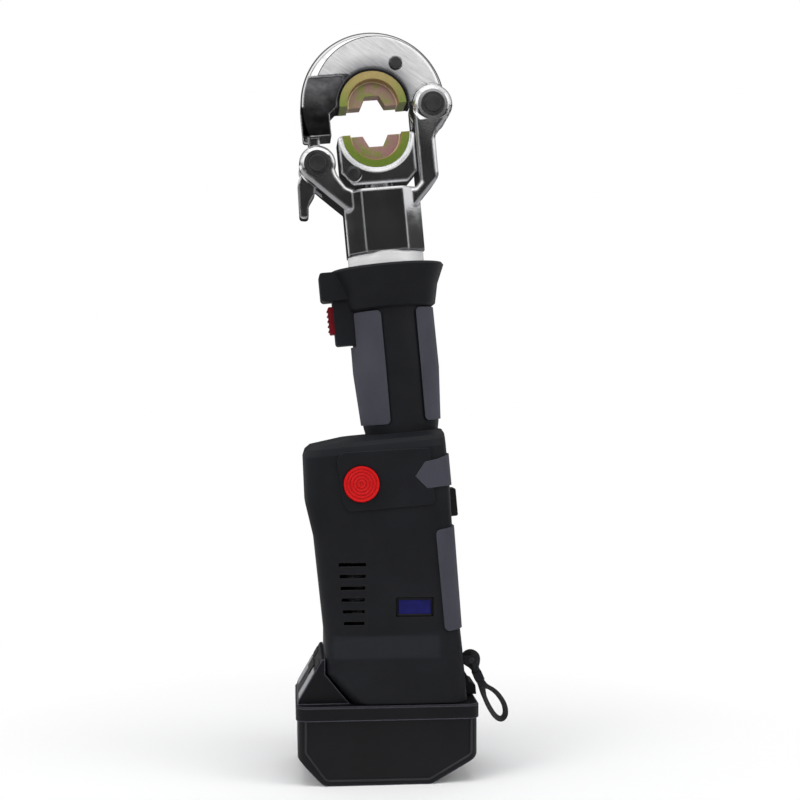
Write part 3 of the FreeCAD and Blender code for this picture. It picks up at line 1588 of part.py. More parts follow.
def battery_case():
    split = SPLIT_LEVEL
    wall = size.pack_wall
    sink = size.pack_panel_sink
    outer = common("LowerOuter", pack_profile("LowerProfile", 0, split),
                   pack_plan("LowerPlan", sink, 0, split))
    inner = common("LowerInner", pack_profile("LowerInnerProfile", wall, split + 1),
                   pack_plan("LowerInnerPlan", wall + sink * 0.5, wall, split + 1))
    move(cut("battery_case_lower", outer, inner), 0, 0, 0)
    top = size.pack_height
    band = pack_plan("Band", as_dim(0), split, top)
    dress(band, "Chamfer", lambda edge: on_plane(edge, "Z", top.value), 1.0)
    wedge = plate("Wedge", [
        (-size.pack_left, top - 3), (-size.pack_left + size.wedge_inset, SHOULDER_LEVEL, 1),
        (-size.ridge_left, RIDGE_LEVEL, 1), (-size.ridge_right, RIDGE_LEVEL),
        (-size.ridge_right, top + size.wedge_back_height), (-size.wedge_back_foot, top - 0.5),
        (-size.wedge_back_foot, top - 3),
    ], size.ridge_half_width * 2)
    neck = box(-size.tongue_left, size.tongue_right, -size.tongue_neck_half_width,
               size.tongue_neck_half_width, top - 1, TONGUE_LIP + 0.5)
    lip = box(-size.tongue_left, size.tongue_right, -size.tongue_half_width, size.tongue_half_width,
              TONGUE_LIP, TONGUE_TOP)
    room = pack_plan("BandRoom", wall + sink * 0.5, split - 1, top - wall)
    slots = [
        box(22, size.tongue_right + 1, side * 9 - 1, side * 9 + 1, TONGUE_LIP - 1,
            TONGUE_TOP + 1)
        for side in (-1, 1)
    ]
    deep = size.key_depth + size.key_travel + 0.5
    reach = size.key_length / 2 + size.running_gap
    wide = size.key_half_width + size.running_gap
    hole = box(-reach, reach, -wide, wide, -deep, 5)
    solid = cut("UpperSolid", fuse("UpperMass", band, wedge, neck, lip), room, *slots)
    place_key(hole)
    move(cut("battery_case_upper", solid, hole), 0, 0, 0)


SLOPE_RUN = size.pack_left - size.wedge_inset - size.ridge_left
SLOPE_RISE = RIDGE_LEVEL - SHOULDER_LEVEL


def place_key(item):
    """Turns an item onto the wedge's slope, where the battery's release key is."""
    run = SLOPE_RUN.value
    rise = SLOPE_RISE.value
    length = math.hypot(run, rise)
    along = size.key_along.value / length
    tilt = Rotation(Vector(0, -1, 0), math.degrees(math.atan2(rise, run)))
    x = -size.pack_left.value + size.wedge_inset.value + run * along
    z = SHOULDER_LEVEL.value + rise * along
    item.setExpression("Placement.Base.x", None)
    item.setExpression("Placement.Base.y", None)
    item.setExpression("Placement.Base.z", None)
    item.Placement = Placement(Vector(x, 0, z), tilt) * item.Placement


def battery_key():
    half = size.key_length / 2
    item = plate("battery_key", [
        (-half, -size.key_depth), (half, -size.key_depth), (half, size.key_stand_out, 0.8),
        (-half, size.key_stand_out, 0.8),
    ], size.key_half_width * 2)
    place_key(item)


def battery_cells():
    cells = []
    length = size.cell_length
    rows = ((4, size.cell_low_level, size.cell_low_shift), (6, size.cell_high_level, as_dim(0)))
    for count, level, shift in rows:
        for number in range(count):
            x = size.cell_pitch * (number - (count - 1) / 2) - shift
            cells.append(cylinder(size.cell_radius, length, x, length / 2, level, FRONTWARD))
    move(together("battery_cells", cells), 0, 0, 0)
    roof = size.pack_height - size.pack_wall
    board = box(-48, 46, -30, 30, roof - 1.9, roof - 0.3)
    move(together("battery_board", [board]), 0, 0, 0)


def battery_rails():
    """The channel in the skirt that the battery's tongue slides in, and the contact block."""
    body = new_body("battery_rails")
    sketch = new_sketch(body, "YZ", -12)
    gap = size.running_gap
    wide = size.skirt_half_depth - size.wall - 0.5
    low = SKIRT_LEVEL
    lip = TONGUE_LIP - gap
    neck = size.tongue_neck_half_width + gap
    side = size.tongue_half_width + gap
    roof = TONGUE_TOP + gap
    outline(sketch, [
        (-wide, low), (-neck, low), (-neck, lip), (-side, lip), (-side, roof), (side, roof),
        (side, lip), (neck, lip), (neck, low), (wide, low), (wide, roof + 3), (-wide, roof + 3),
    ])
    pad(body, sketch, 51)
    move(body, 0, 0, 0)
    block = box(39.4, 46.5, -14, 14, TONGUE_LIP, roof + 3)
    blades = [box(25, 39.5, side * 9 - 0.4, side * 9 + 0.4, TONGUE_LIP + 0.5,
                  TONGUE_TOP - 0.5) for side in (-1, 1)]
    move(fuse("terminal_block", block, *blades), 0, 0, 0)


# Wrist strap: a loop of woven cord, threaded round a bar on the heel.

STRAP_ROUTE = [
    (60.4, -14.2, 65.2),
    (58.3, -14.2, 70.0),
    (52.1, -14.2, 73.3),
    (52.1, -14.6, 77.7),
    (55.9, -16.2, 79.9),
    (59.7, -17.8, 77.7),
    (59.7, -18.2, 73.3),
    (58.3, -18.2, 70.0),
    (63.3, -18.2, 58.5),
    (70.0, -18.0, 55.8),
    (75.0, -17.6, 50.8),
    (78.6, -17.1, 44.4),
    (79.2, -16.6, 38.0),
    (76.2, -16.2, 34.8),
    (72.2, -15.8, 37.0),
    (68.0, -15.2, 43.6),
    (64.9, -14.6, 50.6),
    (63.3, -14.2, 58.5),
    (60.6, -14.2, 64.7),
]


STRAP_SIDES = 8


def smooth_path(points):
    """Straight runs joined by tangent arcs, as large as the runs beside them allow."""
    edges = []
    radii = []
    start = points[0]
    for before, corner, after in zip(points, points[1:], points[2:]):
        back = (before - corner).normalize()
        ahead = (after - corner).normalize()
        half = back.getAngle(ahead) / 2
        shorter = min((before - corner).Length, (after - corner).Length)
        reach = 0.45 * shorter
        radius = reach * math.tan(half)
        middle = (back + ahead).normalize()
        centre = corner + middle * (radius / math.sin(half))
        enter = corner + back * reach
        leave = corner + ahead * reach
        edges.append(Part.LineSegment(start, enter).toShape())
        edges.append(Part.Arc(enter, centre - middle * radius, leave).toShape())
        radii.append(radius)
        start = leave
    edges.append(Part.LineSegment(start, points[-1]).toShape())
    return Part.Wire(edges), radii


def wrist_strap():
    points = [Vector(*point) for point in STRAP_ROUTE]
    path, radii = smooth_path(points)
    radius = size.strap_radius.value
    along = (points[1] - points[0]).normalize()
    side = along.cross(Vector(0, 1, 0)).normalize()
    rise = along.cross(side)
    turns = [2 * math.pi * (number + 0.5) / STRAP_SIDES for number in range(STRAP_SIDES)]
    ring = [points[0] + (side * math.cos(turn) + rise * math.sin(turn)) * radius for turn in turns]
    section = Part.Face(Part.makePolygon(ring + ring[:1]))
    strap = doc.addObject("Part::Feature", "wrist_strap")
    strap.Label = "wrist_strap"
    strap.Shape = path.makePipe(section)
    expected = section.Area * path.Length
    print("strap length", round(path.Length, 1), "arc radii", [round(value, 1) for value in radii])
    print("strap volume over section times length", round(strap.Shape.Volume / expected, 4))


def strap_fittings():
    """The bar that the strap is threaded round, and the slider that closes the loop."""
    near = size.strap_cheek_near + size.strap_cheek_thickness
    length = near - size.strap_cheek_far + size.strap_cheek_thickness
    bar = cylinder(size.strap_bar_radius, length, size.strap_bar_x, near, size.strap_bar_z, FRONTWARD)
    move(together("strap_bar", [bar]), 0, 0, 0)
    high = Vector(*STRAP_ROUTE[7])
    low = Vector(*STRAP_ROUTE[8])
    along = (low - high).normalize()
    middle = (high + low) * 0.5
    turn = Rotation(Vector(0, 0, 1), along)
    half = 3.0
    hole = size.strap_radius + size.bore_gap
    block = box(-2.9, 2.9, -2.4, 6.4, -half, half)
    holes = [cylinder(hole, half * 2 + 2, 0, place, -half - 1) for place in (0, 4)]
    slider = cut("strap_slider", block, *holes)
    slider.Placement = Placement(middle, turn)


def strap_cheeks():
    """Two ears on the front half that carry the strap's bar."""
    ears = []
    for low in (size.strap_cheek_far - size.strap_cheek_thickness, size.strap_cheek_near):
        ears.append(level_box(
            size.strap_bar_x - 8, size.strap_bar_x + 2.6, low, low + size.strap_cheek_thickness,
            size.strap_bar_z - 2.6, size.strap_bar_z + 2.6))
    return ears


# Order of work and the files.

def make_everything():
    head_yoke()
    joint_pin("hinge_pin", size.hinge_offset, size.hinge_level)
    joint_pin("latch_pin", -size.latch_offset, size.latch_level)
    circlips()
    latch_lever()
    latch_spring()
    cylinder_plug()
    return_spring()
    upper_jaw()
    die("upper_die", upper=True)
    die("lower_die", upper=False)
    die_detent("upper_die_detent", upper=True)
    die_detent("lower_die_detent", upper=False)
    upper_pin = (size.die_pin_offset, UPPER_FACE + size.die_pin_rise, size.jaw_half_width)
    lower_pin = (-size.die_pin_offset, LOWER_FACE - size.die_pin_rise, size.ram_half_width)
    die_pin("upper_die_pin", *upper_pin)
    die_pin_spring("upper_pin_spring", *upper_pin)
    die_pin("lower_die_pin", *lower_pin)
    die_pin_spring("lower_pin_spring", *lower_pin)
    ram_die_seat()
    piston()
    swivel_collar()
    housing()
    housing_screws()
    soft_pads()
    trigger()
    trigger_switch()
    release_button()
    indicator()
    rear_lug()
    motor()
    gearbox()
    pump()
    battery_case()
    battery_cells()
    battery_key()
    battery_rails()
    wrist_strap()
    strap_fittings()


NODES = [
    "head_yoke", "hinge_pin", "latch_pin", "pin_circlips", "latch_spring", "cylinder_plug",
    "piston_return_spring", "upper_jaw", "upper_die", "upper_die_detent", "upper_die_pin",
    "upper_pin_spring", "latch_lever", "ram_die_seat", "piston", "piston_seal", "lower_die",
    "lower_die_detent", "lower_die_pin", "lower_pin_spring", "swivel_collar", "housing_front",
    "housing_back", "housing_screws", "grip_pad_left", "grip_pad_right", "rear_pad", "arrow_pad",
    "trigger", "trigger_spring", "trigger_switch", "release_button", "release_button_spring",
    "release_valve", "indicator_lens", "circuit_board", "rear_lug", "motor_can", "motor_cap",
    "motor_rotor", "gearbox_case", "planet_gear_1", "planet_gear_2", "planet_gear_3",
    "planet_carrier", "eccentric_bearing", "pump_block", "pump_plunger", "feed_tube",
    "oil_reservoir", "battery_case_lower", "battery_case_upper", "battery_cells", "battery_board",
    "battery_key", "battery_rails", "terminal_block", "wrist_strap", "strap_bar", "strap_slider",
]


def check_objects():
    failed = []
    for item in doc.Objects:
        if "Invalid" in item.State or "Error" in item.State:
            failed.append(f"{item.Label} in {item.getParentGroup() and item.getParentGroup().Label}")
    if failed:
        raise RuntimeError("did not compute: " + ", ".join(failed))


def write_pieces():
    total = 0
    for label in NODES:
        item = doc.getObjectsByLabel(label)[0]
        shape = item.Shape
        if shape.isNull() or not shape.isValid():
            raise RuntimeError(f"{label} is not a valid solid")
        shape.exportStep(f"parts/{label}.step")
        total += len(shape.tessellate(0.4)[1])
        print(label, len(shape.Solids), round(shape.Volume / 1000, 2), [round(v, 1) for v in (
            shape.BoundBox.XMin, shape.BoundBox.XMax, shape.BoundBox.YMin, shape.BoundBox.YMax,
            shape.BoundBox.ZMin, shape.BoundBox.ZMax)])
    print(len(NODES), "pieces,", total, "facets")


fill_sheet()
make_everything()
doc.recompute()
check_objects()
write_pieces()
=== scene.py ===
import math
import bpy
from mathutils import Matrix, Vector


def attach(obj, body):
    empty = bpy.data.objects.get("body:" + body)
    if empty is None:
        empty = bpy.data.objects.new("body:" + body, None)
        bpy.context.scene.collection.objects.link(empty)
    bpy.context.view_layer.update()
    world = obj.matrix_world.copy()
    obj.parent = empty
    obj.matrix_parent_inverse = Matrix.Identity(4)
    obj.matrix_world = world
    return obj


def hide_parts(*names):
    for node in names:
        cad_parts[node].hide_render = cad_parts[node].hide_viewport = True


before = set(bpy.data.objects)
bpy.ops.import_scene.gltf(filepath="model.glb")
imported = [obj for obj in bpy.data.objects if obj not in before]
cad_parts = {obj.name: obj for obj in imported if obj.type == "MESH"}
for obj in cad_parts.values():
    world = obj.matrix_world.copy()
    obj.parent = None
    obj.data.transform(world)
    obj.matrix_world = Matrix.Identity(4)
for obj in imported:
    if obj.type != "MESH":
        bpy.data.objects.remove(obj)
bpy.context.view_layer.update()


# Helpers.
# Nodes, patterns and meshes that the studio and several pieces share.

MM = 0.001
FORWARD = (0.0, -1.0, 0.0)
BACKWARD = (0.0, 1.0, 0.0)


def add_node(tree, kind, sockets=None, **settings):
    """The outputs of a new node. Its sockets are linked to other sockets or set to values."""
    node = tree.nodes.new(kind)
    for name, value in settings.items():
        setattr(node, name, value)
    for name, value in (sockets or {}).items():
        if isinstance(value, bpy.types.NodeSocket):
            tree.links.new(value, node.inputs[name])
        else:
            node.inputs[name].default_value = value
    return node.outputs


def number_step(tree, operation, *values):
    """One step of arithmetic; each value is a socket or a plain number."""
    return add_node(tree, "ShaderNodeMath", dict(enumerate(values)), operation=operation)["Value"]


def product(tree, first, second):
    return number_step(tree, "MULTIPLY", first, second)


def total(tree, first, second):
    return number_step(tree, "ADD", first, second)


def vector_step(tree, operation, first, second=None):
    """One step of vector arithmetic; each value is a socket or a plain vector."""
    sockets = {0: first}
    if second is not None:
        sockets[3 if operation == "SCALE" else 1] = second
    outputs = add_node(tree, "ShaderNodeVectorMath", sockets, operation=operation)
    return outputs["Value" if operation in ("DOT_PRODUCT", "LENGTH") else "Vector"]


def own_place(tree):
    """A piece's own coordinates, whole and axis by axis."""
    where = add_node(tree, "ShaderNodeTexCoord")["Object"]
    return where, add_node(tree, "ShaderNodeSeparateXYZ", {"Vector": where})


def pattern_place(tree, scale, turn=(0.0, 0.0, 0.0), source="Object"):
    """Coordinates for a pattern: metres along axes turned by turn, times scale along each."""
    scales = scale if isinstance(scale, tuple) else (scale, scale, scale)
    return add_node(tree, "ShaderNodeMapping", {
        "Vector": add_node(tree, "ShaderNodeTexCoord")[source],
        "Scale": tuple(1.0 / part for part in scales),
        "Rotation": turn,
    }, vector_type="TEXTURE")["Vector"]


def noise(tree, scale, detail=3.0, roughness=0.5, turn=(0.0, 0.0, 0.0), source="Object"):
    """Cloudy pattern with scale patches to the metre, one number or one for each axis."""
    return add_node(tree, "ShaderNodeTexNoise", {
        "Vector": pattern_place(tree, scale, turn, source),
        "Scale": 1.0, "Detail": detail, "Roughness": roughness,
    })["Fac"]


def spread(tree, value, low, high, start=0.0, end=1.0, soft=False):
    """Rescales a pattern from start..end to low..high."""
    return add_node(tree, "ShaderNodeMapRange", {
        "Value": value, "From Min": start, "From Max": end, "To Min": low, "To Max": high,
    }, interpolation_type="SMOOTHSTEP" if soft else "LINEAR")["Result"]


def colours(tree, value, stops):
    """A colour ramp over the pattern; stops are (place, colour)."""
    ramp = tree.nodes.new("ShaderNodeValToRGB")
    elements = ramp.color_ramp.elements
    while len(elements) < len(stops):
        elements.new(0.5)
    for element, (place, colour) in zip(elements, stops):
        element.position = place
        element.color = (*colour, 1.0)
    tree.links.new(value, ramp.inputs["Fac"])
    return ramp.outputs["Color"]


def mixed(tree, factor, first, second, blend="MIX"):
    """Colour first where factor is 0 and second where it is 1."""
    sockets = {0: factor}
    for socket, colour in ((6, first), (7, second)):
        sockets[socket] = (*colour, 1.0) if isinstance(colour, tuple) else colour
    return add_node(tree, "ShaderNodeMix", sockets, data_type="RGBA", blend_type=blend)[2]


def darkened(tree, shade, veil):
    """A colour multiplied by the colour of a veil."""
    return mixed(tree, 1.0, shade, veil, "MULTIPLY")


def shaded(colour, factor, lift=0.0):
    return tuple(part * factor + lift for part in colour)


def rounded_normal(tree, radius, samples):
    """The surface direction with its edges rounded."""
    return add_node(tree, "ShaderNodeBevel", {"Radius": radius}, samples=samples)["Normal"]


def edge_mask(tree, radius):
    """1 along the edges of a piece and 0 on its faces."""
    shape = add_node(tree, "ShaderNodeNewGeometry")["Normal"]
    agreement = vector_step(tree, "DOT_PRODUCT", rounded_normal(tree, radius, 4), shape)
    return spread(tree, agreement, 1.0, 0.0, 0.80, 0.99)


def relief(tree, shader, height, distance, edge=0.0):
    """Raises the surface by the pattern, over edges that are softened by a small radius."""
    sockets = {"Distance": distance, "Height": height}
    if edge:
        sockets["Normal"] = rounded_normal(tree, edge, 6)
    tree.links.new(add_node(tree, "ShaderNodeBump", sockets)["Normal"], shader.inputs["Normal"])


def new_finish(name, colour, roughness, metallic=0.0):
    """A material with its Principled shader and its tree, to which a finish adds its detail."""
    material = bpy.data.materials.new(name)
    material.use_nodes = True
    shader = material.node_tree.nodes["Principled BSDF"]
    shader.inputs["Base Color"].default_value = (*colour, 1.0)
    shader.inputs["Roughness"].default_value = roughness
    shader.inputs["Metallic"].default_value = metallic
    return material, shader, material.node_tree


def dress(material, *nodes):
    """Gives solids of the frame their finish."""
    for node in nodes:
        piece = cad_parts[node]
        piece.data.materials.clear()
        piece.data.materials.append(material)


def new_piece(name, vertices, faces):
    mesh = bpy.data.meshes.new(name)
    mesh.from_pydata(vertices, [], faces)
    piece = bpy.data.objects.new(name, mesh)
    bpy.context.scene.collection.objects.link(piece)
    return piece


def smooth(piece):
    piece.data.polygons.foreach_set("use_smooth", [True] * len(piece.data.polygons))


def new_group(name, sizes):
    """A tree of geometry nodes, with its named inputs and a geometry output."""
    tree = bpy.data.node_groups.new(name, "GeometryNodeTree")
    tree.interface.new_socket("Geometry", in_out="INPUT", socket_type="NodeSocketGeometry")
    for size, value in sizes.items():
        socket = tree.interface.new_socket(size, in_out="INPUT", socket_type="NodeSocketFloat")
        socket.default_value = value
    tree.interface.new_socket("Geometry", in_out="OUTPUT", socket_type="NodeSocketGeometry")
    return tree, add_node(tree, "NodeGroupInput")


def painted(tree, geometry, material):
    real = add_node(tree, "GeometryNodeRealizeInstances", {"Geometry": geometry})
    return add_node(tree, "GeometryNodeSetMaterial", {
        "Geometry": real["Geometry"], "Material": material,
    })["Geometry"]


def round_sweep(tree, path, radius):
    """A round bar along a path."""
    ring = add_node(tree, "GeometryNodeCurvePrimitiveCircle", {"Resolution": 12, "Radius": radius})
    return add_node(tree, "GeometryNodeCurveToMesh", {
        "Curve": path, "Profile Curve": ring["Curve"], "Fill Caps": True,
    })["Mesh"]


def poly_line(name, points, closed=False):
    curve = bpy.data.curves.new(name, "CURVE")
    curve.dimensions = "3D"
    spline = curve.splines.new("POLY")
    spline.points.add(len(points) - 1)
    for point, place in zip(spline.points, points):
        point.co = (*place, 1.0)
    spline.use_cyclic_u = closed
    return bpy.data.objects.new(name, curve)


def grown(name, line, tree, sizes):
    """Runs a tree over a curve and returns the plain mesh as an object of its own."""
    bpy.context.scene.collection.objects.link(line)
    modifier = line.modifiers.new(name, "NODES")
    modifier.node_group = tree
    for item in tree.interface.items_tree:
        if item.in_out == "INPUT" and item.name in sizes:
            modifier[item.identifier] = sizes[item.name]
    seen = line.evaluated_get(bpy.context.evaluated_depsgraph_get())
    mesh = bpy.data.meshes.new_from_object(seen)
    line.modifiers.remove(modifier)
    bpy.data.objects.remove(line)
    piece = bpy.data.objects.new(name, mesh)
    bpy.context.scene.collection.objects.link(piece)
    return piece


# Camera and studio.
# The tool stands on a pale table, lit by three softboxes, and seen level from
# slightly to the left of its front. Cards outside the picture show in its metal only.

camera_data = bpy.data.cameras.new("camera")
camera_data.sensor_width = 36.0
camera_data.lens = 57.4
camera = bpy.data.objects.new("camera", camera_data)
bpy.context.scene.collection.objects.link(camera)
looked_at = Vector((0.0108, 0.0, 0.2452))
camera.location = Vector((-0.0633, -0.8468, 0.2452))
camera.rotation_euler = (looked_at - camera.location).to_track_quat("-Z", "Y").to_euler()
bpy.context.scene.camera = camera
bpy.context.scene.view_settings.view_transform = "Standard"


def white_room():
    """White to look at, also in polished metal, and a little dimmer as light."""
    world = bpy.data.worlds.new("white room")
    bpy.context.scene.world = world
    world.use_nodes = True
    tree = world.node_tree
    tree.nodes.clear()
    seen = add_node(tree, "ShaderNodeBackground", {"Color": (1.0, 1.0, 1.0, 1.0), "Strength": 1.0})
    lighting = add_node(tree, "ShaderNodeBackground", {"Color": (0.97, 0.98, 1.0, 1.0), "Strength": 0.5})
    path = add_node(tree, "ShaderNodeLightPath")
    shown = path["Is Camera Ray"]
    for kind in ("Is Glossy Ray", "Is Transmission Ray"):
        shown = number_step(tree, "MAXIMUM", shown, path[kind])
    mix = add_node(tree, "ShaderNodeMixShader", {
        "Fac": shown, 1: lighting["Background"], 2: seen["Background"],
    })
    add_node(tree, "ShaderNodeOutputWorld", {"Surface": mix["Shader"]})


TOOL_MIDDLE = Vector((0.0, 0.0, 0.25))


def softbox(name, place, width, height, power):
    """An area lamp that metal doesn't mirror. Returns the corners for a card in its place."""
    data = bpy.data.lights.new(name, "AREA")
    data.shape = "RECTANGLE"
    data.size = width
    data.size_y = height
    data.energy = power
    lamp = bpy.data.objects.new(name, data)
    bpy.context.scene.collection.objects.link(lamp)
    lamp.location = place
    turn = (TOOL_MIDDLE - Vector(place)).to_track_quat("-Z", "Y")
    lamp.rotation_euler = turn.to_euler()
    lamp.visible_glossy = False
    corners = []
    for side, rise in ((-0.5, -0.5), (0.5, -0.5), (0.5, 0.5), (-0.5, 0.5)):
        corners.append(tuple(Vector(place) + turn @ Vector((side * width, rise * height, -0.01))))
    return corners


def flat_sheet(name, corners, material):
    sheet = new_piece(name, corners, [(0, 1, 2, 3)])
    sheet.data.materials.append(material)
    return sheet


def card_paint(name, dark, light, low, high, axis="Z"):
    """A studio card, dark up to low along its axis and lighter from high on."""
    material = bpy.data.materials.new(name)
    material.use_nodes = True
    tree = material.node_tree
    tree.nodes.clear()
    strength = spread(tree, own_place(tree)[1][axis], dark, light, low, high, soft=True)
    glow = add_node(tree, "ShaderNodeEmission", {"Strength": strength})
    add_node(tree, "ShaderNodeOutputMaterial", {"Surface": glow["Emission"]})
    return material


def reflected_card(name, corners, material):
    """A card that stands outside the picture and only shows in polished metal."""
    card = flat_sheet(name, corners, material)
    card.visible_camera = False
    card.visible_diffuse = False
    card.visible_transmission = False
    card.visible_shadow = False


def table_paint():
    """Pale table top that runs into the white round it."""
    material, paint, tree = new_finish("pale table", (0.93, 0.93, 0.93), 0.9)
    fade_start = 0.07
    fade_end = 0.34
    fade = spread(tree, vector_step(tree, "LENGTH", own_place(tree)[0]), 0.0, 1.0, fade_start, fade_end)
    path = add_node(tree, "ShaderNodeLightPath")
    shown = paint.outputs["BSDF"]
    for kind, colour in (("Is Camera Ray", (1.0, 1.0, 1.0, 1.0)), ("Is Glossy Ray", (0.42, 0.42, 0.43, 1.0))):
        shown = add_node(tree, "ShaderNodeMixShader", {
            "Fac": product(tree, fade, path[kind]),
            1: shown,
            2: add_node(tree, "ShaderNodeEmission", {"Color": colour})["Emission"],
        })["Shader"]
    tree.links.new(shown, tree.nodes["Material Output"].inputs["Surface"])
    return material


white_room()
shine = card_paint("softbox shine", 0.55, 1.5, 0.25, 1.1)
reflected_card("left shine", softbox("left softbox", (-1.1, -0.75, 0.85), 0.7, 1.3, 9.0), shine)
reflected_card("right shine", softbox("right softbox", (1.15, -0.6, 0.75), 0.6, 1.3, 7.5), shine)
reflected_card("top shine", softbox("top softbox", (-0.1, -0.35, 1.5), 1.1, 0.8, 8.0), shine)
flat_sheet("table", [(-3, -3, 0), (3, -3, 0), (3, 3, 0), (-3, 3, 0)], table_paint())
front_paint = card_paint("front card", 0.032, 1.35, 0.78, 0.91)
back_paint = card_paint("back card", 0.02, 0.35, 0.86, 1.1)
left_paint = card_paint("left card", 0.025, 0.70, -0.14, 0.05, "Y")
right_paint = card_paint("right card", 0.03, 0.06, 0.2, 0.7)
CARD_AWAY = 1.6
CARD_FOOT = -0.4
CARD_TOP = 2.0
WING_FOOT = 0.62
SIDE_CARD_TOP = 0.72
for name, y, near, far, low, paint in (
        ("front card", -CARD_AWAY, -1.5, 1.5, CARD_FOOT, front_paint),
        ("back card", CARD_AWAY, -0.9, 0.9, CARD_FOOT, back_paint),
        ("back wing", CARD_AWAY, -0.9, -2.8, WING_FOOT, back_paint),
        ("back wing", CARD_AWAY, 0.9, 2.8, WING_FOOT, back_paint)):
    reflected_card(name, [(near, y, low), (far, y, low), (far, y, CARD_TOP), (near, y, CARD_TOP)], paint)
for name, x, back, paint in (("left card", -1.5, 0.06, left_paint), ("right card", 1.5, 0.9, right_paint)):
    reflected_card(name, [(x, -CARD_AWAY, CARD_FOOT), (x, back, CARD_FOOT), (x, back, SIDE_CARD_TOP),
                          (x, -CARD_AWAY, SIDE_CARD_TOP)], paint)


# Yoke and latch.
# A steel forging: the cylinder's neck below, and two arms with eyes above. It is
# plated in dark chrome, with fine orange peel on its faces. Its edges are painted brighter,
# as thin wear and as a painted highlight, and the rims of its eyes as a painted highlight.

# The head's lean, the foot of its axis, and its eyes: across, height and radius in metres.
LEAN = math.radians(5.3)
HEAD_FOOT = 0.0327
HINGE_EYE = (0.0387, 0.4374, 0.013)
LATCH_EYE = (-0.04, 0.4041, 0.012)
RIM_WIDTH = 0.0032
RIM_FALL = 0.0016


def head_place(tree, level):
    """Coordinates that lean with the head: across, back and along, from its axis at level."""
    leaning = add_node(tree, "ShaderNodeMapping", {
        "Vector": add_node(tree, "ShaderNodeTexCoord")["Object"],
        "Location": (HEAD_FOOT - level * math.sin(LEAN), 0.0, level * math.cos(LEAN)),
        "Rotation": (0.0, -LEAN, 0.0),
    }, vector_type="TEXTURE")["Vector"]
    return leaning, add_node(tree, "ShaderNodeSeparateXYZ", {"Vector": leaning})


def ring_distance(tree, coordinates, across, level):
    """How far a point of the head is from an axis that runs from front to back."""
    shifted = vector_step(tree, "SUBTRACT", coordinates, (across, 0.0, level))
    return vector_step(tree, "LENGTH", vector_step(tree, "MULTIPLY", shifted, (1.0, 0.0, 1.0)))


def eye_rim(tree, eye, turn, start):
    """1 on the rounded rim of an eye's two faces, away from the arm that carries it."""
    across, level, radius = eye
    coordinates, parts = head_place(tree, level)
    reach = ring_distance(tree, coordinates, across, 0.0)
    rim = spread(tree, reach, 0.0, 1.0, radius - RIM_WIDTH, radius)
    sideways = spread(tree, parts["X"], -math.sin(turn), math.sin(turn), across - 1.0, across + 1.0)
    upward = spread(tree, parts["Z"], -math.cos(turn), math.cos(turn), -1.0, 1.0)
    away = spread(tree, total(tree, sideways, upward), 0.0, 1.0, start, start + 0.008, soft=True)
    near = spread(tree, reach, 1.0, 0.0, radius + 0.0002, radius + 0.0006)
    return product(tree, product(tree, rim, away), near)


def dark_plating():
    """Dark chrome, with its edges painted brighter as thin wear and as a highlight, and the
    rounded rims of its eyes painted brighter as a highlight.
    """
    material, shader, tree = new_finish("dark plating", (0.5, 0.5, 0.51), 0.1, 1.0)
    haze = noise(tree, (40.0, 40.0, 30.0), 4.0, 0.6)
    peel = noise(tree, 700.0)
    plated = colours(tree, haze, [
        (0.30, (0.62, 0.62, 0.64)), (0.55, (0.72, 0.72, 0.73)), (0.80, (0.66, 0.65, 0.65)),
    ])
    # The eye rims and the edges are painted near white: a painted highlight, on the edges also thin wear.
    rims = total(tree, eye_rim(tree, HINGE_EYE, 0.0, -0.010),
                 eye_rim(tree, LATCH_EYE, math.radians(-45), -0.003))
    bright = total(tree, edge_mask(tree, 0.0013), rims)
    tree.links.new(mixed(tree, bright, plated, (0.97, 0.97, 0.97)), shader.inputs["Base Color"])
    tree.links.new(spread(tree, haze, 0.05, 0.14, 0.3, 0.8), shader.inputs["Roughness"])
    height = total(tree, spread(tree, rims, 0.0, -RIM_FALL), spread(tree, peel, 0.0, 0.000005))
    relief(tree, shader, height, 1.0, edge=0.0026)
    return material


plating = dark_plating()
dress(plating, "head_yoke", "latch_lever")


# Upper jaw.
# A chrome-plated C. The wide face above its step is brushed by hand, the leg below
# the step and the bevel round the rim are polished.

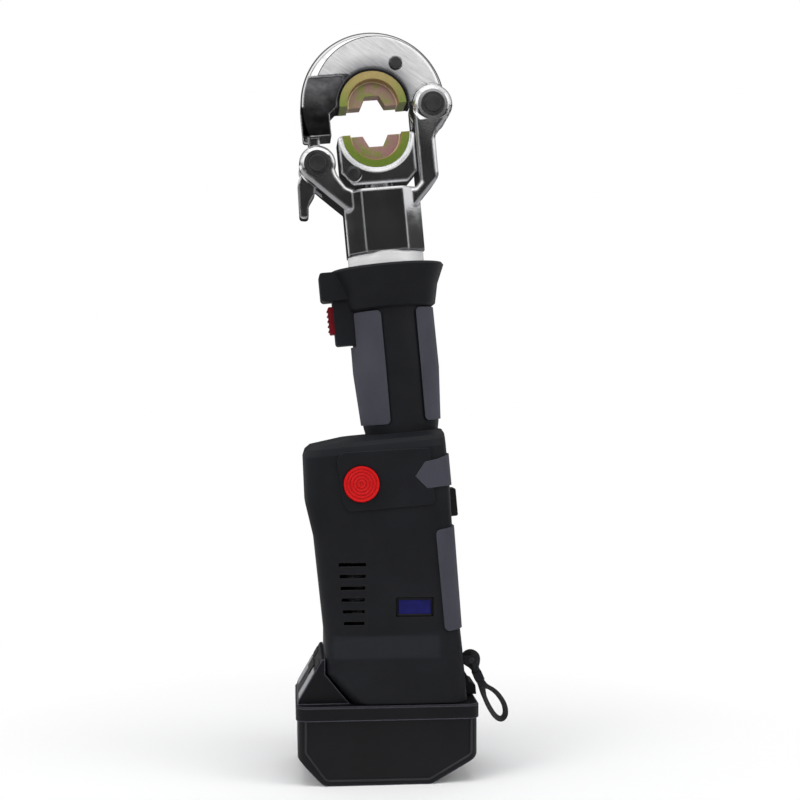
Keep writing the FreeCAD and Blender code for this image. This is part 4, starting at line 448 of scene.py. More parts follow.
def bright_chrome():
    """Brushed on the wide face and polished on the bevel and the rim. The leg's face and the
    rim's outer chamfer are painted dark as reflections, the leg's edges painted light as a
    highlight, and painted shade darkens round the bore and in the crease round the brushed face.
    """
    material, shader, tree = new_finish("bright chrome", (0.85, 0.85, 0.86), 0.1, 1.0)
    seat_level = 0.4405
    step_rise = 0.0205
    half_width = 0.015
    leg_half_width = 0.0134
    leg_inner = -0.016
    brushed_centre = (0.0032, 0.0022)
    brushed_radius = 0.0418
    bore_radius = 0.022
    rim_radius = 0.0461
    rim_fall = 0.0032
    coordinates, parts = head_place(tree, seat_level)
    above = spread(tree, parts["Z"], 0.0, 1.0, step_rise, step_rise + 0.0012)
    depth = number_step(tree, "ABSOLUTE", parts["Y"])
    flat = spread(tree, depth, 0.0, 1.0, half_width - 0.0006, half_width - 0.0002)
    reach = ring_distance(tree, coordinates, *brushed_centre)
    inside = spread(tree, reach, 1.0, 0.0, brushed_radius - 0.0001, brushed_radius + 0.0001)
    right = spread(tree, parts["X"], 0.0, 1.0, leg_inner, leg_inner + 0.004)
    leg = spread(tree, total(tree, above, right), 1.0, 0.0, 0.2, 0.8)
    crescent = product(tree, flat, spread(tree, reach, 0.0, 1.0, brushed_radius, brushed_radius + 0.006))
    leg_face = product(tree, leg, spread(tree, depth, 0.0, 1.0, leg_half_width, leg_half_width + 0.0003))
    brushed = product(tree, product(tree, flat, inside), spread(tree, leg, 1.0, 0.0))
    strokes = noise(tree, (70.0, 70.0, 600.0), 4.0, 0.6, turn=(0.0, math.radians(35), 0.0))
    haze = noise(tree, 38.0)
    blotches = noise(tree, (90.0, 90.0, 120.0), 4.0, 0.6)
    streaked = total(tree, spread(tree, strokes, 0.0, 0.6), spread(tree, haze, 0.0, 0.4))
    satin = colours(tree, streaked, [(0.34, (0.58, 0.58, 0.59)), (0.62, (0.97, 0.97, 0.98))])
    polish = colours(tree, haze, [(0.30, (0.78, 0.78, 0.79)), (0.70, (0.88, 0.88, 0.88))])
    # The leg's face is painted dark in blotches, a painted dark reflection.
    leg_painted_reflection = colours(tree, blotches, [(0.38, (0.10, 0.10, 0.105)), (0.62, (0.24, 0.24, 0.25))])
    shade = mixed(tree, brushed, polish, satin)
    shade = mixed(tree, leg_face, shade, leg_painted_reflection)
    # The leg's edges are painted light, a painted highlight.
    shade = mixed(tree, product(tree, leg, edge_mask(tree, 0.0012)), shade, (0.9, 0.9, 0.9))
    # Painted shade round the bore, darkest at its edge and gone 12 mm out.
    bore = ring_distance(tree, coordinates, 0.0, 0.0)
    bore_painted_shade = colours(tree, spread(tree, bore, 0.0, 1.0, bore_radius, bore_radius + 0.012), [
        (0.10, (0.05, 0.05, 0.05)), (0.20, (0.42, 0.42, 0.43)), (0.95, (1.0, 1.0, 1.0)),
    ])
    # A thin dark ring just outside the brushed face is a painted shade in the crease.
    line = spread(tree, reach, 0.0, 1.0, brushed_radius + 0.0004, brushed_radius + 0.0008)
    line = total(tree, total(tree, line, inside), leg)
    outline = colours(tree, line, [(0.4, (0.10, 0.10, 0.10)), (0.7, (1.0, 1.0, 1.0))])
    # The chamfer beyond the rim's radius is painted dark, a painted dark reflection.
    chamfer = spread(tree, depth, 0.0, 1.0, half_width - 0.0034, half_width - 0.0028)
    chamfer_painted_reflection = product(tree, chamfer, spread(tree, bore, 0.0, 1.0, rim_radius, rim_radius + 0.0006))
    chamfer_painted_reflection = colours(tree, chamfer_painted_reflection, [(0.2, (1.0, 1.0, 1.0)), (0.8, (0.10, 0.10, 0.10))])
    for veil in (bore_painted_shade, outline, chamfer_painted_reflection):
        shade = darkened(tree, shade, veil)
    tree.links.new(shade, shader.inputs["Base Color"])
    polished = spread(tree, haze, 0.05, 0.13, 0.3, 0.75)
    rough = spread(tree, strokes, 0.26, 0.42, 0.3, 0.75)
    either = add_node(tree, "ShaderNodeMix", {0: brushed, 2: polished, 3: rough})[0]
    tree.links.new(either, shader.inputs["Roughness"])
    slope = spread(tree, product(tree, crescent, spread(tree, leg, 1.0, 0.0)), 0.0, -rim_fall)
    scratches = spread(tree, product(tree, strokes, brushed), 0.0, 0.000012)
    relief(tree, shader, total(tree, slope, scratches), 1.0, edge=0.0016)
    return material


dress(bright_chrome(), "upper_jaw")


# Ram head.
# The seat of the lower die is turned and milled steel, chrome plated and polished.

dress(plating, "ram_die_seat")


# Dies.
# Two turned half rings of tool steel with a hexagon notch. They are zinc plated and
# passivated, olive to green on the outer ring, which is painted paler towards its top as
# painted light, with a pinkish bloom on the thinner web.

DIE_FACE = 0.4215
DIE_OPENING = 0.019
WEB_EDGE = 0.0168


def passivated_zinc(name, level, outer_stops):
    """Passivation in rings round the axis at level: web, groove, step and outer ring, with a
    painted shadow as a dark line at the step.
    """
    material, shader, tree = new_finish(name, (0.3, 0.3, 0.1), 0.36, 0.55)
    coordinates, parts = head_place(tree, level)
    radius = ring_distance(tree, coordinates, 0.0, 0.0)
    bloom = noise(tree, 110.0)
    lathe = noise(tree, 900.0, 2.0, 0.6)
    outer = colours(tree, spread(tree, parts["Z"], 0.0, 1.0, -0.022, 0.022), outer_stops)
    web = colours(tree, bloom, [
        (0.36, (0.30, 0.33, 0.09)), (0.50, (0.42, 0.27, 0.21)), (0.64, (0.46, 0.25, 0.24)),
    ])
    groove = spread(tree, radius, 0.0, 1.0, WEB_EDGE - 0.0012, WEB_EDGE - 0.0009)
    shade = mixed(tree, groove, web, (0.80, 0.66, 0.40))
    # A dark line at the step is a painted shadow.
    shade = mixed(tree, spread(tree, radius, 0.0, 1.0, WEB_EDGE - 0.0004, WEB_EDGE - 0.0001), shade,
                  (0.34, 0.22, 0.09))
    shade = mixed(tree, spread(tree, radius, 0.0, 1.0, WEB_EDGE + 0.0003, WEB_EDGE + 0.0007), shade, outer)
    speckle = colours(tree, lathe, [(0.3, (0.80, 0.80, 0.80)), (0.7, (1.0, 1.0, 1.0))])
    tree.links.new(darkened(tree, shade, speckle), shader.inputs["Base Color"])
    tree.links.new(spread(tree, lathe, 0.28, 0.42, 0.3, 0.75), shader.inputs["Roughness"])
    relief(tree, shader, lathe, 0.00001, edge=0.0003)
    return material


# The outer ring's stops run from bottom to top: the olive and green hues are the passivation's, the paler top
# is painted light.
olive_top = [(0.0, (0.16, 0.23, 0.03)), (0.55, (0.24, 0.29, 0.06)), (0.95, (0.46, 0.35, 0.14))]
green_bottom = [(0.0, (0.16, 0.24, 0.03)), (0.40, (0.20, 0.27, 0.04)), (0.55, (0.30, 0.27, 0.07))]
dress(passivated_zinc("upper passivation", DIE_FACE + DIE_OPENING, olive_top), "upper_die")
dress(passivated_zinc("lower passivation", DIE_FACE, green_bottom), "lower_die")


# Pins of the head.
# The two joint pins and the two push pins of the dies are ground steel with a black
# oxide. Their bevels are painted lighter, as a little wear and as a painted highlight.

def black_oxide():
    material, shader, tree = new_finish("black oxide", (0.02, 0.02, 0.021), 0.4, 0.3)
    wear = noise(tree, 160.0)
    oxide = colours(tree, wear, [(0.35, (0.014, 0.014, 0.015)), (0.75, (0.032, 0.032, 0.033))])
    # Bevels painted lighter: a little wear and a painted highlight.
    worn_and_highlit_edge = mixed(tree, edge_mask(tree, 0.0004), oxide, (0.10, 0.10, 0.10))
    tree.links.new(worn_and_highlit_edge, shader.inputs["Base Color"])
    tree.links.new(spread(tree, wear, 0.30, 0.46, 0.3, 0.8), shader.inputs["Roughness"])
    relief(tree, shader, wear, 0.00002, edge=0.0004)
    return material


oxide = black_oxide()
dress(oxide, "hinge_pin", "latch_pin", "upper_die_pin", "lower_die_pin", "pin_circlips", "strap_bar")


# Springs, screws and other small turned parts.
# Ground steel with fine turning marks. Each small spring is a wire wound round its
# rod or pin, and stands in place of the plain sleeve of its node.

def ground_steel(name, colour, grain_scale):
    material, shader, tree = new_finish(name, colour, 0.28, 1.0)
    grain = noise(tree, grain_scale, 3.0, 0.6)
    haze = noise(tree, 90.0)
    darker = shaded(colour, 0.8)
    tree.links.new(colours(tree, haze, [(0.3, darker), (0.7, colour)]), shader.inputs["Base Color"])
    tree.links.new(spread(tree, grain, 0.2, 0.4, 0.3, 0.75), shader.inputs["Roughness"])
    relief(tree, shader, grain, 0.00001, edge=0.0002)
    return material


steel = ground_steel("ground steel", (0.60, 0.60, 0.61), (1500.0, 150.0, 1500.0))
dress(steel, "piston", "upper_die_detent", "lower_die_detent", "release_valve",
      "pump_plunger", "eccentric_bearing", "planet_carrier", "planet_gear_1", "planet_gear_2",
      "planet_gear_3", "housing_screws")
spring_wire = ground_steel("spring wire", (0.42, 0.42, 0.44), (300.0, 300.0, 2400.0))
dress(spring_wire, "piston_return_spring")


def coil_tree(material):
    """A wire wound round the Z axis, from the origin upwards."""
    tree, inputs = new_group("coil", {
        "Coil radius": 0.003, "Wire radius": 0.0003, "Length": 0.003, "Turns": 3.0,
    })
    spiral = add_node(tree, "GeometryNodeCurveSpiral", {
        "Resolution": 28, "Rotations": inputs["Turns"], "Height": inputs["Length"],
        "Start Radius": inputs["Coil radius"], "End Radius": inputs["Coil radius"],
    })
    wound = round_sweep(tree, spiral["Curve"], inputs["Wire radius"])
    add_node(tree, "NodeGroupOutput", {"Geometry": painted(tree, wound, material)})
    return tree


RIGHTWARD = (math.cos(LEAN), 0.0, math.sin(LEAN))
coils = coil_tree(spring_wire)
# Spring, body, foot, direction, length, coil radius, wire radius and turns, in millimetres.
spring_sizes = [
    ("latch_spring", "head", (-44.46, 3.7, 398.68), BACKWARD, 3.5, 7.3, 0.6, 2.0),
    ("upper_pin_spring", "upper_push_pin", (6.57, 4.0, 465.68), BACKWARD, 3.0, 3.0, 0.35, 3.5),
    ("lower_pin_spring", "lower_push_pin", (-20.8, 4.0, 392.64), BACKWARD, 3.0, 3.0, 0.35, 3.5),
    ("trigger_spring", "trigger", (-26.41, 0.0, 297.81), RIGHTWARD, 2.35, 3.0, 0.3, 3.0),
    ("release_button_spring", "release", (-16.8, -28.55, 191.55), BACKWARD, 9.05, 4.8, 0.5, 6.0),
]
for node, body, foot, direction, length, coil_radius, wire, turns in spring_sizes:
    spring = grown(node + "_coil", poly_line(node, [(0, 0, 0), (0, 0, 1)]), coils, {
        "Coil radius": coil_radius * MM, "Wire radius": wire * MM, "Length": (length - wire * 2) * MM,
        "Turns": turns,
    })
    way = Vector(direction)
    turned_up = way.to_track_quat("Z", "Y").to_matrix().to_4x4()
    turned_up.translation = Vector(foot) * MM + way * wire * MM
    spring.data.transform(turned_up)
    smooth(spring)
    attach(spring, body)
    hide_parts(node)


# Collar, cylinder plug, pump and gear case.
# Light metal, turned or cast and machined, pale and brushed round.

def pale_aluminium():
    material, shader, tree = new_finish("pale aluminium", (0.88, 0.88, 0.88), 0.4, 0.35)
    lathe = noise(tree, (60.0, 60.0, 2600.0), 3.0, 0.6, turn=(0.0, -LEAN, 0.0))
    tree.links.new(colours(tree, lathe, [(0.3, (0.80, 0.80, 0.80)), (0.7, (0.96, 0.96, 0.96))]),
                   shader.inputs["Base Color"])
    tree.links.new(spread(tree, lathe, 0.32, 0.5, 0.3, 0.75), shader.inputs["Roughness"])
    relief(tree, shader, lathe, 0.00002, edge=0.0003)
    return material


aluminium = pale_aluminium()
dress(aluminium, "swivel_collar", "pump_block", "feed_tube", "cylinder_plug")
dress(ground_steel("dark casting", (0.05, 0.05, 0.052), 500.0), "gearbox_case")


# Housing.
# Two halves of black glass-filled nylon, moulded with a fine spark texture, and screwed
# together from the back. Their edges are painted paler, as wear and as a painted highlight.
# The facet above the battery catches more light and is painted a shade paler for it.

FACET_BOTTOM = 0.0803
FACET_TOP = 0.0942
FACET_LEFT = -0.0350
FACET_RIGHT = 0.0335


def between(tree, value, low, high, soften):
    """1 from low to high and 0 outside, over soft borders."""
    return product(tree, spread(tree, value, 0.0, 1.0, low - soften, low + soften, soft=True),
                   spread(tree, value, 1.0, 0.0, high - soften, high + soften, soft=True))


def moulded_nylon(name, colour, roughness, gloss=0.25, edge=0.0005, wear=1.8, painted_facet_light=False):
    """Nylon with a fine grain. Its edges are painted to its colour times wear, as wear and as a painted
    highlight.
    """
    material, shader, tree = new_finish(name, colour, roughness)
    shader.inputs["Specular IOR Level"].default_value = gloss
    grain = noise(tree, 2200.0, 2.0, 0.5)
    cloud = noise(tree, 28.0)
    darker = shaded(colour, 0.8)
    lighter = shaded(colour, 1.3)
    skin = colours(tree, cloud, [(0.3, darker), (0.5, colour), (0.8, lighter)])
    # The facet is painted paler, a painted light where it faces up.
    if painted_facet_light:
        parts = own_place(tree)[1]
        facet = product(tree, between(tree, parts["Z"], FACET_BOTTOM, FACET_TOP, 0.0012),
                        between(tree, parts["X"], FACET_LEFT, FACET_RIGHT, 0.0020))
        skin = mixed(tree, facet, skin, shaded(colour, 1.7))
    # Edges painted to colour times wear: wear and a painted highlight.
    worn_and_highlit_edge = shaded(colour, wear, 0.004)
    tree.links.new(mixed(tree, edge_mask(tree, edge), skin, worn_and_highlit_edge), shader.inputs["Base Color"])
    tree.links.new(spread(tree, grain, roughness - 0.08, roughness + 0.08, 0.3, 0.7),
                   shader.inputs["Roughness"])
    relief(tree, shader, grain, 0.00004, edge=0.0006)
    return material


black_nylon = moulded_nylon("black nylon", (0.0078, 0.0083, 0.0104), 0.52, gloss=0.18, painted_facet_light=True)
dress(black_nylon, "housing_front", "housing_back", "battery_rails", "motor_cap", "trigger_switch",
      "strap_slider")


# Soft pads.
# Blue-grey rubber, moulded onto the grip and the body with a matt grain.

def soft_rubber(name, colour):
    material, shader, tree = new_finish(name, colour, 0.75)
    shader.inputs["Specular IOR Level"].default_value = 0.2
    shader.inputs["Sheen Weight"].default_value = 0.04
    grain = noise(tree, 1500.0, 3.0, 0.6)
    smear = noise(tree, (40.0, 40.0, 25.0))
    darker = shaded(colour, 0.85)
    lighter = shaded(colour, 1.15)
    skin = colours(tree, smear, [(0.3, darker), (0.55, colour), (0.8, lighter)])
    # Edges painted paler: wear and a painted highlight.
    worn_and_highlit_edge = shaded(colour, 1.35)
    tree.links.new(mixed(tree, edge_mask(tree, 0.0006), skin, worn_and_highlit_edge), shader.inputs["Base Color"])
    tree.links.new(spread(tree, grain, 0.66, 0.84, 0.3, 0.7), shader.inputs["Roughness"])
    relief(tree, shader, grain, 0.00006, edge=0.0006)
    return material


grey_rubber = soft_rubber("grey rubber", (0.044, 0.045, 0.059))
dress(grey_rubber, "grip_pad_left", "grip_pad_right", "rear_pad", "arrow_pad")
black_rubber = soft_rubber("black rubber", (0.010, 0.010, 0.011))
dress(black_rubber, "rear_lug", "piston_seal", "oil_reservoir", "battery_key")


# Trigger and release button.
# Glossy red plastic for the button, whose face is turned into rings with painted shade in
# their valleys, and a darker crimson for the ribbed trigger. The ringed button stands in
# place of its plain node.

BUTTON_CENTRE = (-16.8, 191.55)
BUTTON_FRONT = 36.5
BUTTON_RADIUS = 11.5
RING_PITCH = 2.1
RING_COUNT = 4.5
RING_DEPTH = 0.6
RING_STEPS = 54


def red_plastic(name, colour, roughness, painted_groove_shade=False):
    material, shader, tree = new_finish(name, colour, roughness)
    shader.inputs["Specular IOR Level"].default_value = 0.14
    cloud = noise(tree, 120.0)
    grain = noise(tree, 1800.0, 2.0, 0.5)
    darker = shaded(colour, 0.82)
    lighter = shaded(colour, 1.15, 0.004)
    skin = colours(tree, cloud, [(0.3, darker), (0.7, colour)])
    if painted_groove_shade:
        # All that lies more than 0.5 mm behind the face, the rings' valleys with it, is painted darker as
        # shade.
        valley_painted_shade = spread(tree, own_place(tree)[1]["Y"], 0.0, 1.0,
                      (0.1 - BUTTON_FRONT) * MM, (0.5 - BUTTON_FRONT) * MM)
        skin = mixed(tree, valley_painted_shade, skin, shaded(colour, 0.70))
    # Edges painted lighter: wear and a painted highlight.
    tree.links.new(mixed(tree, edge_mask(tree, 0.0003), skin, lighter), shader.inputs["Base Color"])
    tree.links.new(spread(tree, grain, roughness - 0.06, roughness + 0.08, 0.3, 0.7),
                   shader.inputs["Roughness"])
    relief(tree, shader, grain, 0.00002, edge=0.0003)
    return material


def turned_piece(name, outline, centre, steps=96):
    """A turned piece with its axis from back to front; the outline is (radius, forward) in mm."""
    vertices = []
    faces = []
    for radius, forward in outline:
        for step in range(steps):
            angle = step / steps * 2 * math.pi
            vertices.append(((centre[0] + radius * math.cos(angle)) * MM, -forward * MM,
                             (centre[1] + radius * math.sin(angle)) * MM))
    for ring in range(len(outline) - 1):
        for step in range(steps):
            following = (step + 1) % steps
            faces.append((ring * steps + step, ring * steps + following,
                          (ring + 1) * steps + following, (ring + 1) * steps + step))
    faces.append(tuple(reversed(range(steps))))
    last = (len(outline) - 1) * steps
    faces.append(tuple(range(last, last + steps)))
    piece = new_piece(name, vertices, faces)
    smooth(piece)
    piece.data.set_sharp_from_angle(angle=math.radians(35))
    return piece


button_outline = [(2.9, 20.0), (2.9, 28.6), (12.8, 28.6), (12.8, 30.1), (BUTTON_RADIUS, 30.1),
                  (BUTTON_RADIUS, 35.7), (BUTTON_RADIUS - 0.15, 36.2), (BUTTON_RADIUS - 0.5, BUTTON_FRONT),
                  (BUTTON_RADIUS - 1.1, BUTTON_FRONT), (BUTTON_RADIUS - 1.4, BUTTON_FRONT - 0.15)]
for step in range(RING_STEPS, 0, -1):
    reach = step / RING_STEPS * RING_PITCH * RING_COUNT
    wave = 0.5 - 0.5 * math.cos(2 * math.pi * reach / RING_PITCH)
    button_outline.append((reach, BUTTON_FRONT - 0.05 - RING_DEPTH * wave))
button = turned_piece("release_button_rings", button_outline, BUTTON_CENTRE)
button.data.materials.append(red_plastic("release red", (0.60, 0.004, 0.005), 0.42, painted_groove_shade=True))
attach(button, "release")
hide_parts("release_button")
dress(red_plastic("trigger red", (0.17, 0.004, 0.010), 0.48), "trigger")


# Indicator.
# A deep blue window of clear-coated plastic over a green circuit board with bare
# copper traces. A round bead of black nylon frames it.

def deep_blue_lens():
    material, shader, tree = new_finish("deep blue lens", (0.012, 0.010, 0.14), 0.2)
    cloud = noise(tree, 130.0)
    tree.links.new(colours(tree, cloud, [(0.3, (0.0035, 0.004, 0.060)), (0.7, (0.007, 0.007, 0.10))]),
                   shader.inputs["Base Color"])
    tree.links.new(spread(tree, cloud, 0.16, 0.28, 0.3, 0.7), shader.inputs["Roughness"])
    shader.inputs["Specular IOR Level"].default_value = 0.25
    relief(tree, shader, cloud, 0.00002, edge=0.0003)
    return material


def circuit_green():
    material, shader, tree = new_finish("circuit green", (0.012, 0.06, 0.025), 0.35)
    tracks = add_node(tree, "ShaderNodeTexBrick", {
        "Vector": pattern_place(tree, 180.0), "Scale": 1.0, "Mortar Size": 0.03,
        "Color1": (0.010, 0.055, 0.022, 1.0), "Color2": (0.016, 0.075, 0.030, 1.0),
        "Mortar": (0.45, 0.28, 0.10, 1.0),
    })
    tree.links.new(tracks["Color"], shader.inputs["Base Color"])
    tree.links.new(spread(tree, tracks["Fac"], 0.4, 0.22), shader.inputs["Roughness"])
    relief(tree, shader, tracks["Fac"], 0.00003, edge=0.0002)
    return material


def bead_tree(material):
    """A round moulded bead that follows a line, with rounded corners."""
    tree, inputs = new_group("bead", {"Radius": 0.0007, "Corner": 0.004})
    corners = add_node(tree, "GeometryNodeFilletCurve", {
        "Curve": inputs["Geometry"], "Radius": inputs["Corner"], "Count": 8,
    }, mode="POLY")
    bead = round_sweep(tree, corners["Curve"], inputs["Radius"])
    add_node(tree, "NodeGroupOutput", {"Geometry": painted(tree, bead, material)})
    return tree


dress(deep_blue_lens(), "indicator_lens")
window_corners = [(6.2, 107.1), (28.7, 107.1), (28.7, 117.8), (6.2, 117.8)]
WINDOW_FRONT = 31.9
window_line = poly_line("window line", [(x * MM, -WINDOW_FRONT * MM, z * MM) for x, z in window_corners],
                        closed=True)
frame_black = moulded_nylon("frame black", (0.0030, 0.0030, 0.0034), 0.34, gloss=0.2)
window_frame = grown("window_frame", window_line, bead_tree(frame_black),
                     {"Radius": 0.00095, "Corner": 0.0016})
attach(window_frame, "housing")
board_finish = circuit_green()
dress(board_finish, "circuit_board", "battery_board")


# Motor.
# A zinc-plated steel can, and a rotor with copper windings between its steel ends.

def rotor_finish():
    material, shader, tree = new_finish("rotor", (0.5, 0.5, 0.5), 0.35, 1.0)
    motor_middle = 0.112
    winding_half = 0.016
    reach = number_step(tree, "ABSOLUTE", head_place(tree, motor_middle)[1]["Z"])
    wound = spread(tree, reach, 1.0, 0.0, winding_half, winding_half + 0.001)
    turns = noise(tree, (200.0, 200.0, 3000.0), 2.0, 0.5)
    copper = colours(tree, turns, [(0.3, (0.42, 0.16, 0.07)), (0.7, (0.70, 0.30, 0.14))])
    tree.links.new(mixed(tree, wound, (0.55, 0.55, 0.56), copper), shader.inputs["Base Color"])
    tree.links.new(spread(tree, turns, 0.25, 0.45, 0.3, 0.7), shader.inputs["Roughness"])
    relief(tree, shader, turns, 0.00005, edge=0.0002)
    return material


dress(rotor_finish(), "motor_rotor")
dress(ground_steel("zinc plate", (0.56, 0.57, 0.55), (70.0, 70.0, 900.0)), "motor_can")


# Battery pack.
# A case in two halves of black nylon, a little glossier than the housing, round ten
# cells in sleeves, with plated contacts above. A thin bead borders its front panel.
# The case's edges are painted much paler, mostly a painted highlight, and so is the bead.

# The case's edges are painted much paler, mostly a painted highlight along its flange and panel.
pack_nylon = moulded_nylon("pack nylon", (0.0043, 0.0044, 0.0056), 0.42, gloss=0.20, edge=0.0012, wear=24.0)
dress(pack_nylon, "battery_case_lower", "battery_case_upper")

PACK_FRONT = 0.0371
bead_corners = [(-0.0522, 0.0412), (-0.0522, 0.0215), (-0.0392, 0.0036), (0.0266, 0.0032),
                (0.0534, 0.0188), (0.0534, 0.0412)]
bead_line = poly_line("bead line", [(x, -PACK_FRONT, z) for x, z in bead_corners])
# The bead is a real moulded bead, painted paler than the case as a highlight.
bead_highlight_nylon = moulded_nylon("bead nylon with painted highlight", (0.020, 0.020, 0.023), 0.40)
bead = grown("case_bead", bead_line, bead_tree(bead_highlight_nylon), {"Radius": 0.0007, "Corner": 0.004})
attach(bead, "battery")


def cell_sleeve():
    material, shader, tree = new_finish("cell sleeve", (0.03, 0.16, 0.12), 0.3)
    sleeve_half = 0.0318
    reach = number_step(tree, "ABSOLUTE", own_place(tree)[1]["Y"])
    bare = spread(tree, reach, 0.0, 1.0, sleeve_half, sleeve_half + 0.0003)
    crinkle = noise(tree, (400.0, 60.0, 400.0))
    sleeve = colours(tree, crinkle, [(0.3, (0.02, 0.13, 0.09)), (0.7, (0.04, 0.20, 0.15))])
    tree.links.new(mixed(tree, bare, sleeve, (0.6, 0.6, 0.6)), shader.inputs["Base Color"])
    tree.links.new(bare, shader.inputs["Metallic"])
    tree.links.new(spread(tree, crinkle, 0.22, 0.36, 0.3, 0.7), shader.inputs["Roughness"])
    relief(tree, shader, crinkle, 0.00004)
    return material


dress(cell_sleeve(), "battery_cells")
dress(ground_steel("plated contacts", (0.75, 0.58, 0.24), (900.0, 200.0, 900.0)), "terminal_block")


# Bare plate on the battery's wedge.
# A thin satin plate on each side of the release key, laid on the slanted face, with a
# dark grip strip above it. Nothing is printed on either.

SLOPE_FOOT = Vector((-0.0570, 0.0, 0.0530))
SLOPE_HEAD = Vector((-0.0418, 0.0, 0.0792))
KEY_HALF = 0.0130
PLATE_HALF = 0.0285
PLATE_THICK = 0.0004
PLATE_LIFT = 0.00005


def slope_plate(name, low, high, material):
    """Two thin strips on the slope from low to high, one each side of the release key."""
    along = (SLOPE_HEAD - SLOPE_FOOT).normalized()
    out = Vector((-along.z, 0.0, along.x))
    vertices = []
    faces = []
    for near, far in ((-PLATE_HALF, -KEY_HALF), (KEY_HALF, PLATE_HALF)):
        first = len(vertices)
        for level in (PLATE_LIFT, PLATE_THICK):
            for place, side in ((low, near), (low, far), (high, far), (high, near)):
                point = SLOPE_FOOT + along * place + out * level
                vertices.append((point.x, side, point.z))
        faces.append((first + 3, first + 2, first + 1, first))
        faces.append((first + 4, first + 5, first + 6, first + 7))
        for corner in range(4):
            following = (corner + 1) % 4
            faces.append((first + corner, first + following, first + 4 + following, first + 4 + corner))
    plate = new_piece(name, vertices, faces)
    plate.data.materials.append(material)
    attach(plate, "battery")


def satin_grey():
    material, shader, tree = new_finish("satin grey", (0.50, 0.50, 0.51), 0.42)
    grain = noise(tree, (1200.0, 80.0, 1200.0), 3.0, 0.6)
    tree.links.new(colours(tree, grain, [(0.3, (0.27, 0.27, 0.28)), (0.7, (0.36, 0.36, 0.37))]),
                   shader.inputs["Base Color"])
    tree.links.new(spread(tree, grain, 0.36, 0.5, 0.3, 0.7), shader.inputs["Roughness"])
    relief(tree, shader, grain, 0.00001)
    return material


slope_plate("wedge_plate", 0.0012, 0.0205, satin_grey())
slope_plate("wedge_strip", 0.0222, 0.0272, black_rubber)


# Wrist strap.
# A narrow flat lanyard of black woven nylon with sewn rows, threaded round the bar on
# the heel, with its two strands drawn through a small moulded slider.

# Places along the strap's middle, in millimetres.
strap_route = [
    (60.4, -14.2, 65.2),
    (58.3, -14.2, 70.0),
    (52.1, -14.2, 73.3),
    (52.1, -14.6, 77.7),
    (55.9, -16.2, 79.9),
    (59.7, -17.8, 77.7),
    (59.7, -18.2, 73.3),
    (58.3, -18.2, 70.0),
    (63.3, -18.2, 58.5),
    (70.0, -18.0, 55.8),
    (75.0, -17.6, 50.8),
    (78.6, -17.1, 44.4),
    (79.2, -16.6, 38.0),
    (76.2, -16.2, 34.8),
    (72.2, -15.8, 37.0),
    (68.0, -15.2, 43.6),
    (64.9, -14.6, 50.6),
    (63.3, -14.2, 58.5),
    (60.6, -14.2, 64.7),
]


def line_points(route, name):
    """The route's smooth line as points."""
    curve = bpy.data.curves.new(name, "CURVE")
    curve.dimensions = "3D"
    curve.resolution_u = 10
    spline = curve.splines.new("NURBS")
    spline.points.add(len(route) - 1)
    for point, place in zip(spline.points, route):
        point.co = (*(part * MM for part in place), 1.0)
    spline.order_u = 3
    spline.use_endpoint_u = True
    holder = bpy.data.objects.new(name, curve)
    bpy.context.scene.collection.objects.link(holder)
    mesh = bpy.data.meshes.new_from_object(holder)
    points = [vertex.co.copy() for vertex in mesh.vertices]
    bpy.data.objects.remove(holder)
    return points


def remembered(tree, geometry, name, value):
    """Keeps a number along a line under a name, for the mesh that is swept from it."""
    node = tree.nodes.new("GeometryNodeCaptureAttribute")
    node.capture_items.new("FLOAT", name)
    tree.links.new(geometry, node.inputs["Geometry"])
    tree.links.new(value, node.inputs[name])
    return node.outputs


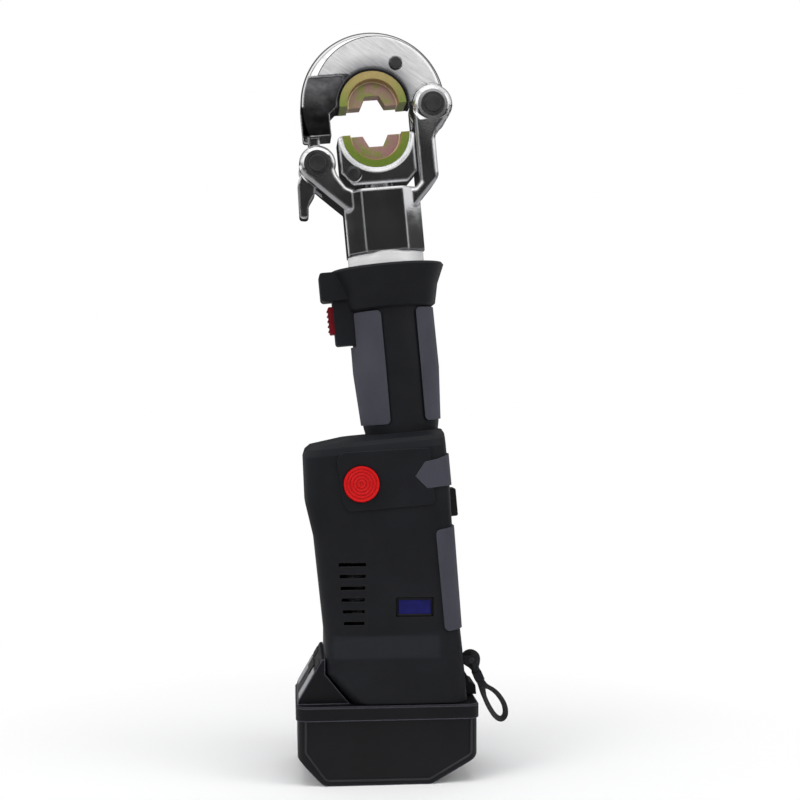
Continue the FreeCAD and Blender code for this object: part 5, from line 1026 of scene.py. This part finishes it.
def webbing_tree(cloth, thread):
    """A flat ribbon along a line, turned out of the front plane in its loop, with two
    rows of stitches on each face. Its UV map holds the length and the way round."""
    twist_rate = 12.0
    corner_share = 0.45
    stitch_share = 0.6
    thread_radius = 0.00012
    row_share = 0.36
    tree, inputs = new_group("webbing", {
        "Width": 0.004, "Thickness": 0.001, "Twist": 1.0, "Loop start": 0.36, "Loop end": 0.94,
        "Stitch": 0.0022,
    })
    tangent = add_node(tree, "GeometryNodeInputTangent")["Tangent"]
    lean = vector_step(tree, "DOT_PRODUCT", tangent, FORWARD)
    front = vector_step(tree, "SUBTRACT", FORWARD, vector_step(tree, "SCALE", tangent, lean))
    facing = add_node(tree, "GeometryNodeSetCurveNormal", {
        "Curve": inputs["Geometry"], "Normal": front,
    }, mode="FREE")
    place = add_node(tree, "GeometryNodeSplineParameter")
    rising = number_step(tree, "SUBTRACT", place["Factor"], inputs["Loop start"])
    falling = number_step(tree, "SUBTRACT", inputs["Loop end"], place["Factor"])
    nearer = product(tree, number_step(tree, "MINIMUM", rising, falling), twist_rate)
    ease = add_node(tree, "ShaderNodeClamp", {"Value": nearer})["Result"]
    turned = add_node(tree, "GeometryNodeSetCurveTilt", {
        "Curve": facing["Curve"], "Tilt": product(tree, ease, inputs["Twist"]),
    })["Curve"]
    kept = remembered(tree, turned, "Length", place["Length"])
    section = add_node(tree, "GeometryNodeCurvePrimitiveQuadrilateral", {
        "Width": inputs["Thickness"], "Height": inputs["Width"],
    })
    rounded = add_node(tree, "GeometryNodeFilletCurve", {
        "Curve": section["Curve"], "Radius": product(tree, inputs["Thickness"], corner_share), "Count": 3,
    }, mode="POLY")
    around = remembered(tree, rounded["Curve"], "Around", place["Length"])
    sweep = add_node(tree, "GeometryNodeCurveToMesh", {
        "Curve": kept["Geometry"], "Profile Curve": around["Geometry"], "Fill Caps": True,
    })
    pair = add_node(tree, "ShaderNodeCombineXYZ", {"X": kept["Length"], "Y": around["Around"]})
    mapped = add_node(tree, "GeometryNodeStoreNamedAttribute", {
        "Geometry": sweep["Mesh"], "Name": "UVMap", "Value": pair["Vector"],
    }, data_type="FLOAT2", domain="CORNER")
    dots = add_node(tree, "GeometryNodeCurveToPoints", {
        "Curve": turned, "Length": inputs["Stitch"],
    }, mode="LENGTH")
    aside = vector_step(tree, "CROSS_PRODUCT", dots["Tangent"], dots["Normal"])
    stitch = add_node(tree, "GeometryNodeMeshCylinder", {
        "Vertices": 6, "Radius": thread_radius, "Depth": product(tree, inputs["Stitch"], stitch_share),
    })
    lie = add_node(tree, "FunctionNodeAlignRotationToVector", {"Vector": dots["Tangent"]}, axis="Z")
    joined = tree.nodes.new("GeometryNodeJoinGeometry")
    for side in (-row_share, row_share):
        for face in (-0.5, 0.5):
            out_by = vector_step(tree, "SCALE", dots["Normal"], product(tree, inputs["Thickness"], face))
            side_by = vector_step(tree, "SCALE", aside, product(tree, inputs["Width"], side))
            moved = add_node(tree, "GeometryNodeSetPosition", {
                "Geometry": dots["Points"], "Offset": vector_step(tree, "ADD", out_by, side_by),
            })
            row = add_node(tree, "GeometryNodeInstanceOnPoints", {
                "Points": moved["Geometry"], "Instance": stitch["Mesh"], "Rotation": lie["Rotation"],
            })
            tree.links.new(row["Instances"], joined.inputs["Geometry"])
    both = tree.nodes.new("GeometryNodeJoinGeometry")
    for geometry, material in ((mapped["Geometry"], cloth), (joined.outputs["Geometry"], thread)):
        tree.links.new(painted(tree, geometry, material), both.inputs["Geometry"])
    add_node(tree, "NodeGroupOutput", {"Geometry": both.outputs["Geometry"]})
    return tree


def woven_nylon():
    """Black twill webbing: slanting threads and a little dust."""
    material, shader, tree = new_finish("woven nylon", (0.018, 0.018, 0.02), 0.75)
    warp = add_node(tree, "ShaderNodeTexWave", {
        "Vector": pattern_place(tree, 420.0, (0, 0, math.radians(50)), "UV"),
        "Scale": 1.0, "Distortion": 0.4,
    }, bands_direction="X")["Fac"]
    dust = noise(tree, 900.0, 2.0, 0.6, source="UV")
    tree.links.new(colours(tree, product(tree, warp, dust), [
        (0.05, (0.006, 0.006, 0.007)), (0.35, (0.018, 0.018, 0.020)), (0.8, (0.04, 0.04, 0.045)),
    ]), shader.inputs["Base Color"])
    tree.links.new(spread(tree, dust, 0.6, 0.9), shader.inputs["Roughness"])
    shader.inputs["Specular IOR Level"].default_value = 0.3
    shader.inputs["Sheen Weight"].default_value = 0.1
    relief(tree, shader, warp, 0.0003)
    return material


def sewing_thread():
    material, shader, tree = new_finish("sewing thread", (0.03, 0.03, 0.032), 0.7)
    strands = noise(tree, 3000.0, 2.0, 0.5)
    tree.links.new(colours(tree, strands, [(0.3, (0.016, 0.016, 0.018)), (0.7, (0.045, 0.045, 0.05))]),
                   shader.inputs["Base Color"])
    tree.links.new(spread(tree, strands, 0.6, 0.85), shader.inputs["Roughness"])
    relief(tree, shader, strands, 0.00004)
    return material


strap_points = line_points(strap_route, "strap line")
webbing = webbing_tree(woven_nylon(), sewing_thread())
strap = grown("woven_strap", poly_line("strap path", strap_points), webbing, {
    "Width": 0.0046, "Thickness": 0.001, "Twist": math.radians(52), "Loop start": 0.36, "Loop end": 0.94,
    "Stitch": 0.0022,
})
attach(strap, "housing")
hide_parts("wrist_strap")
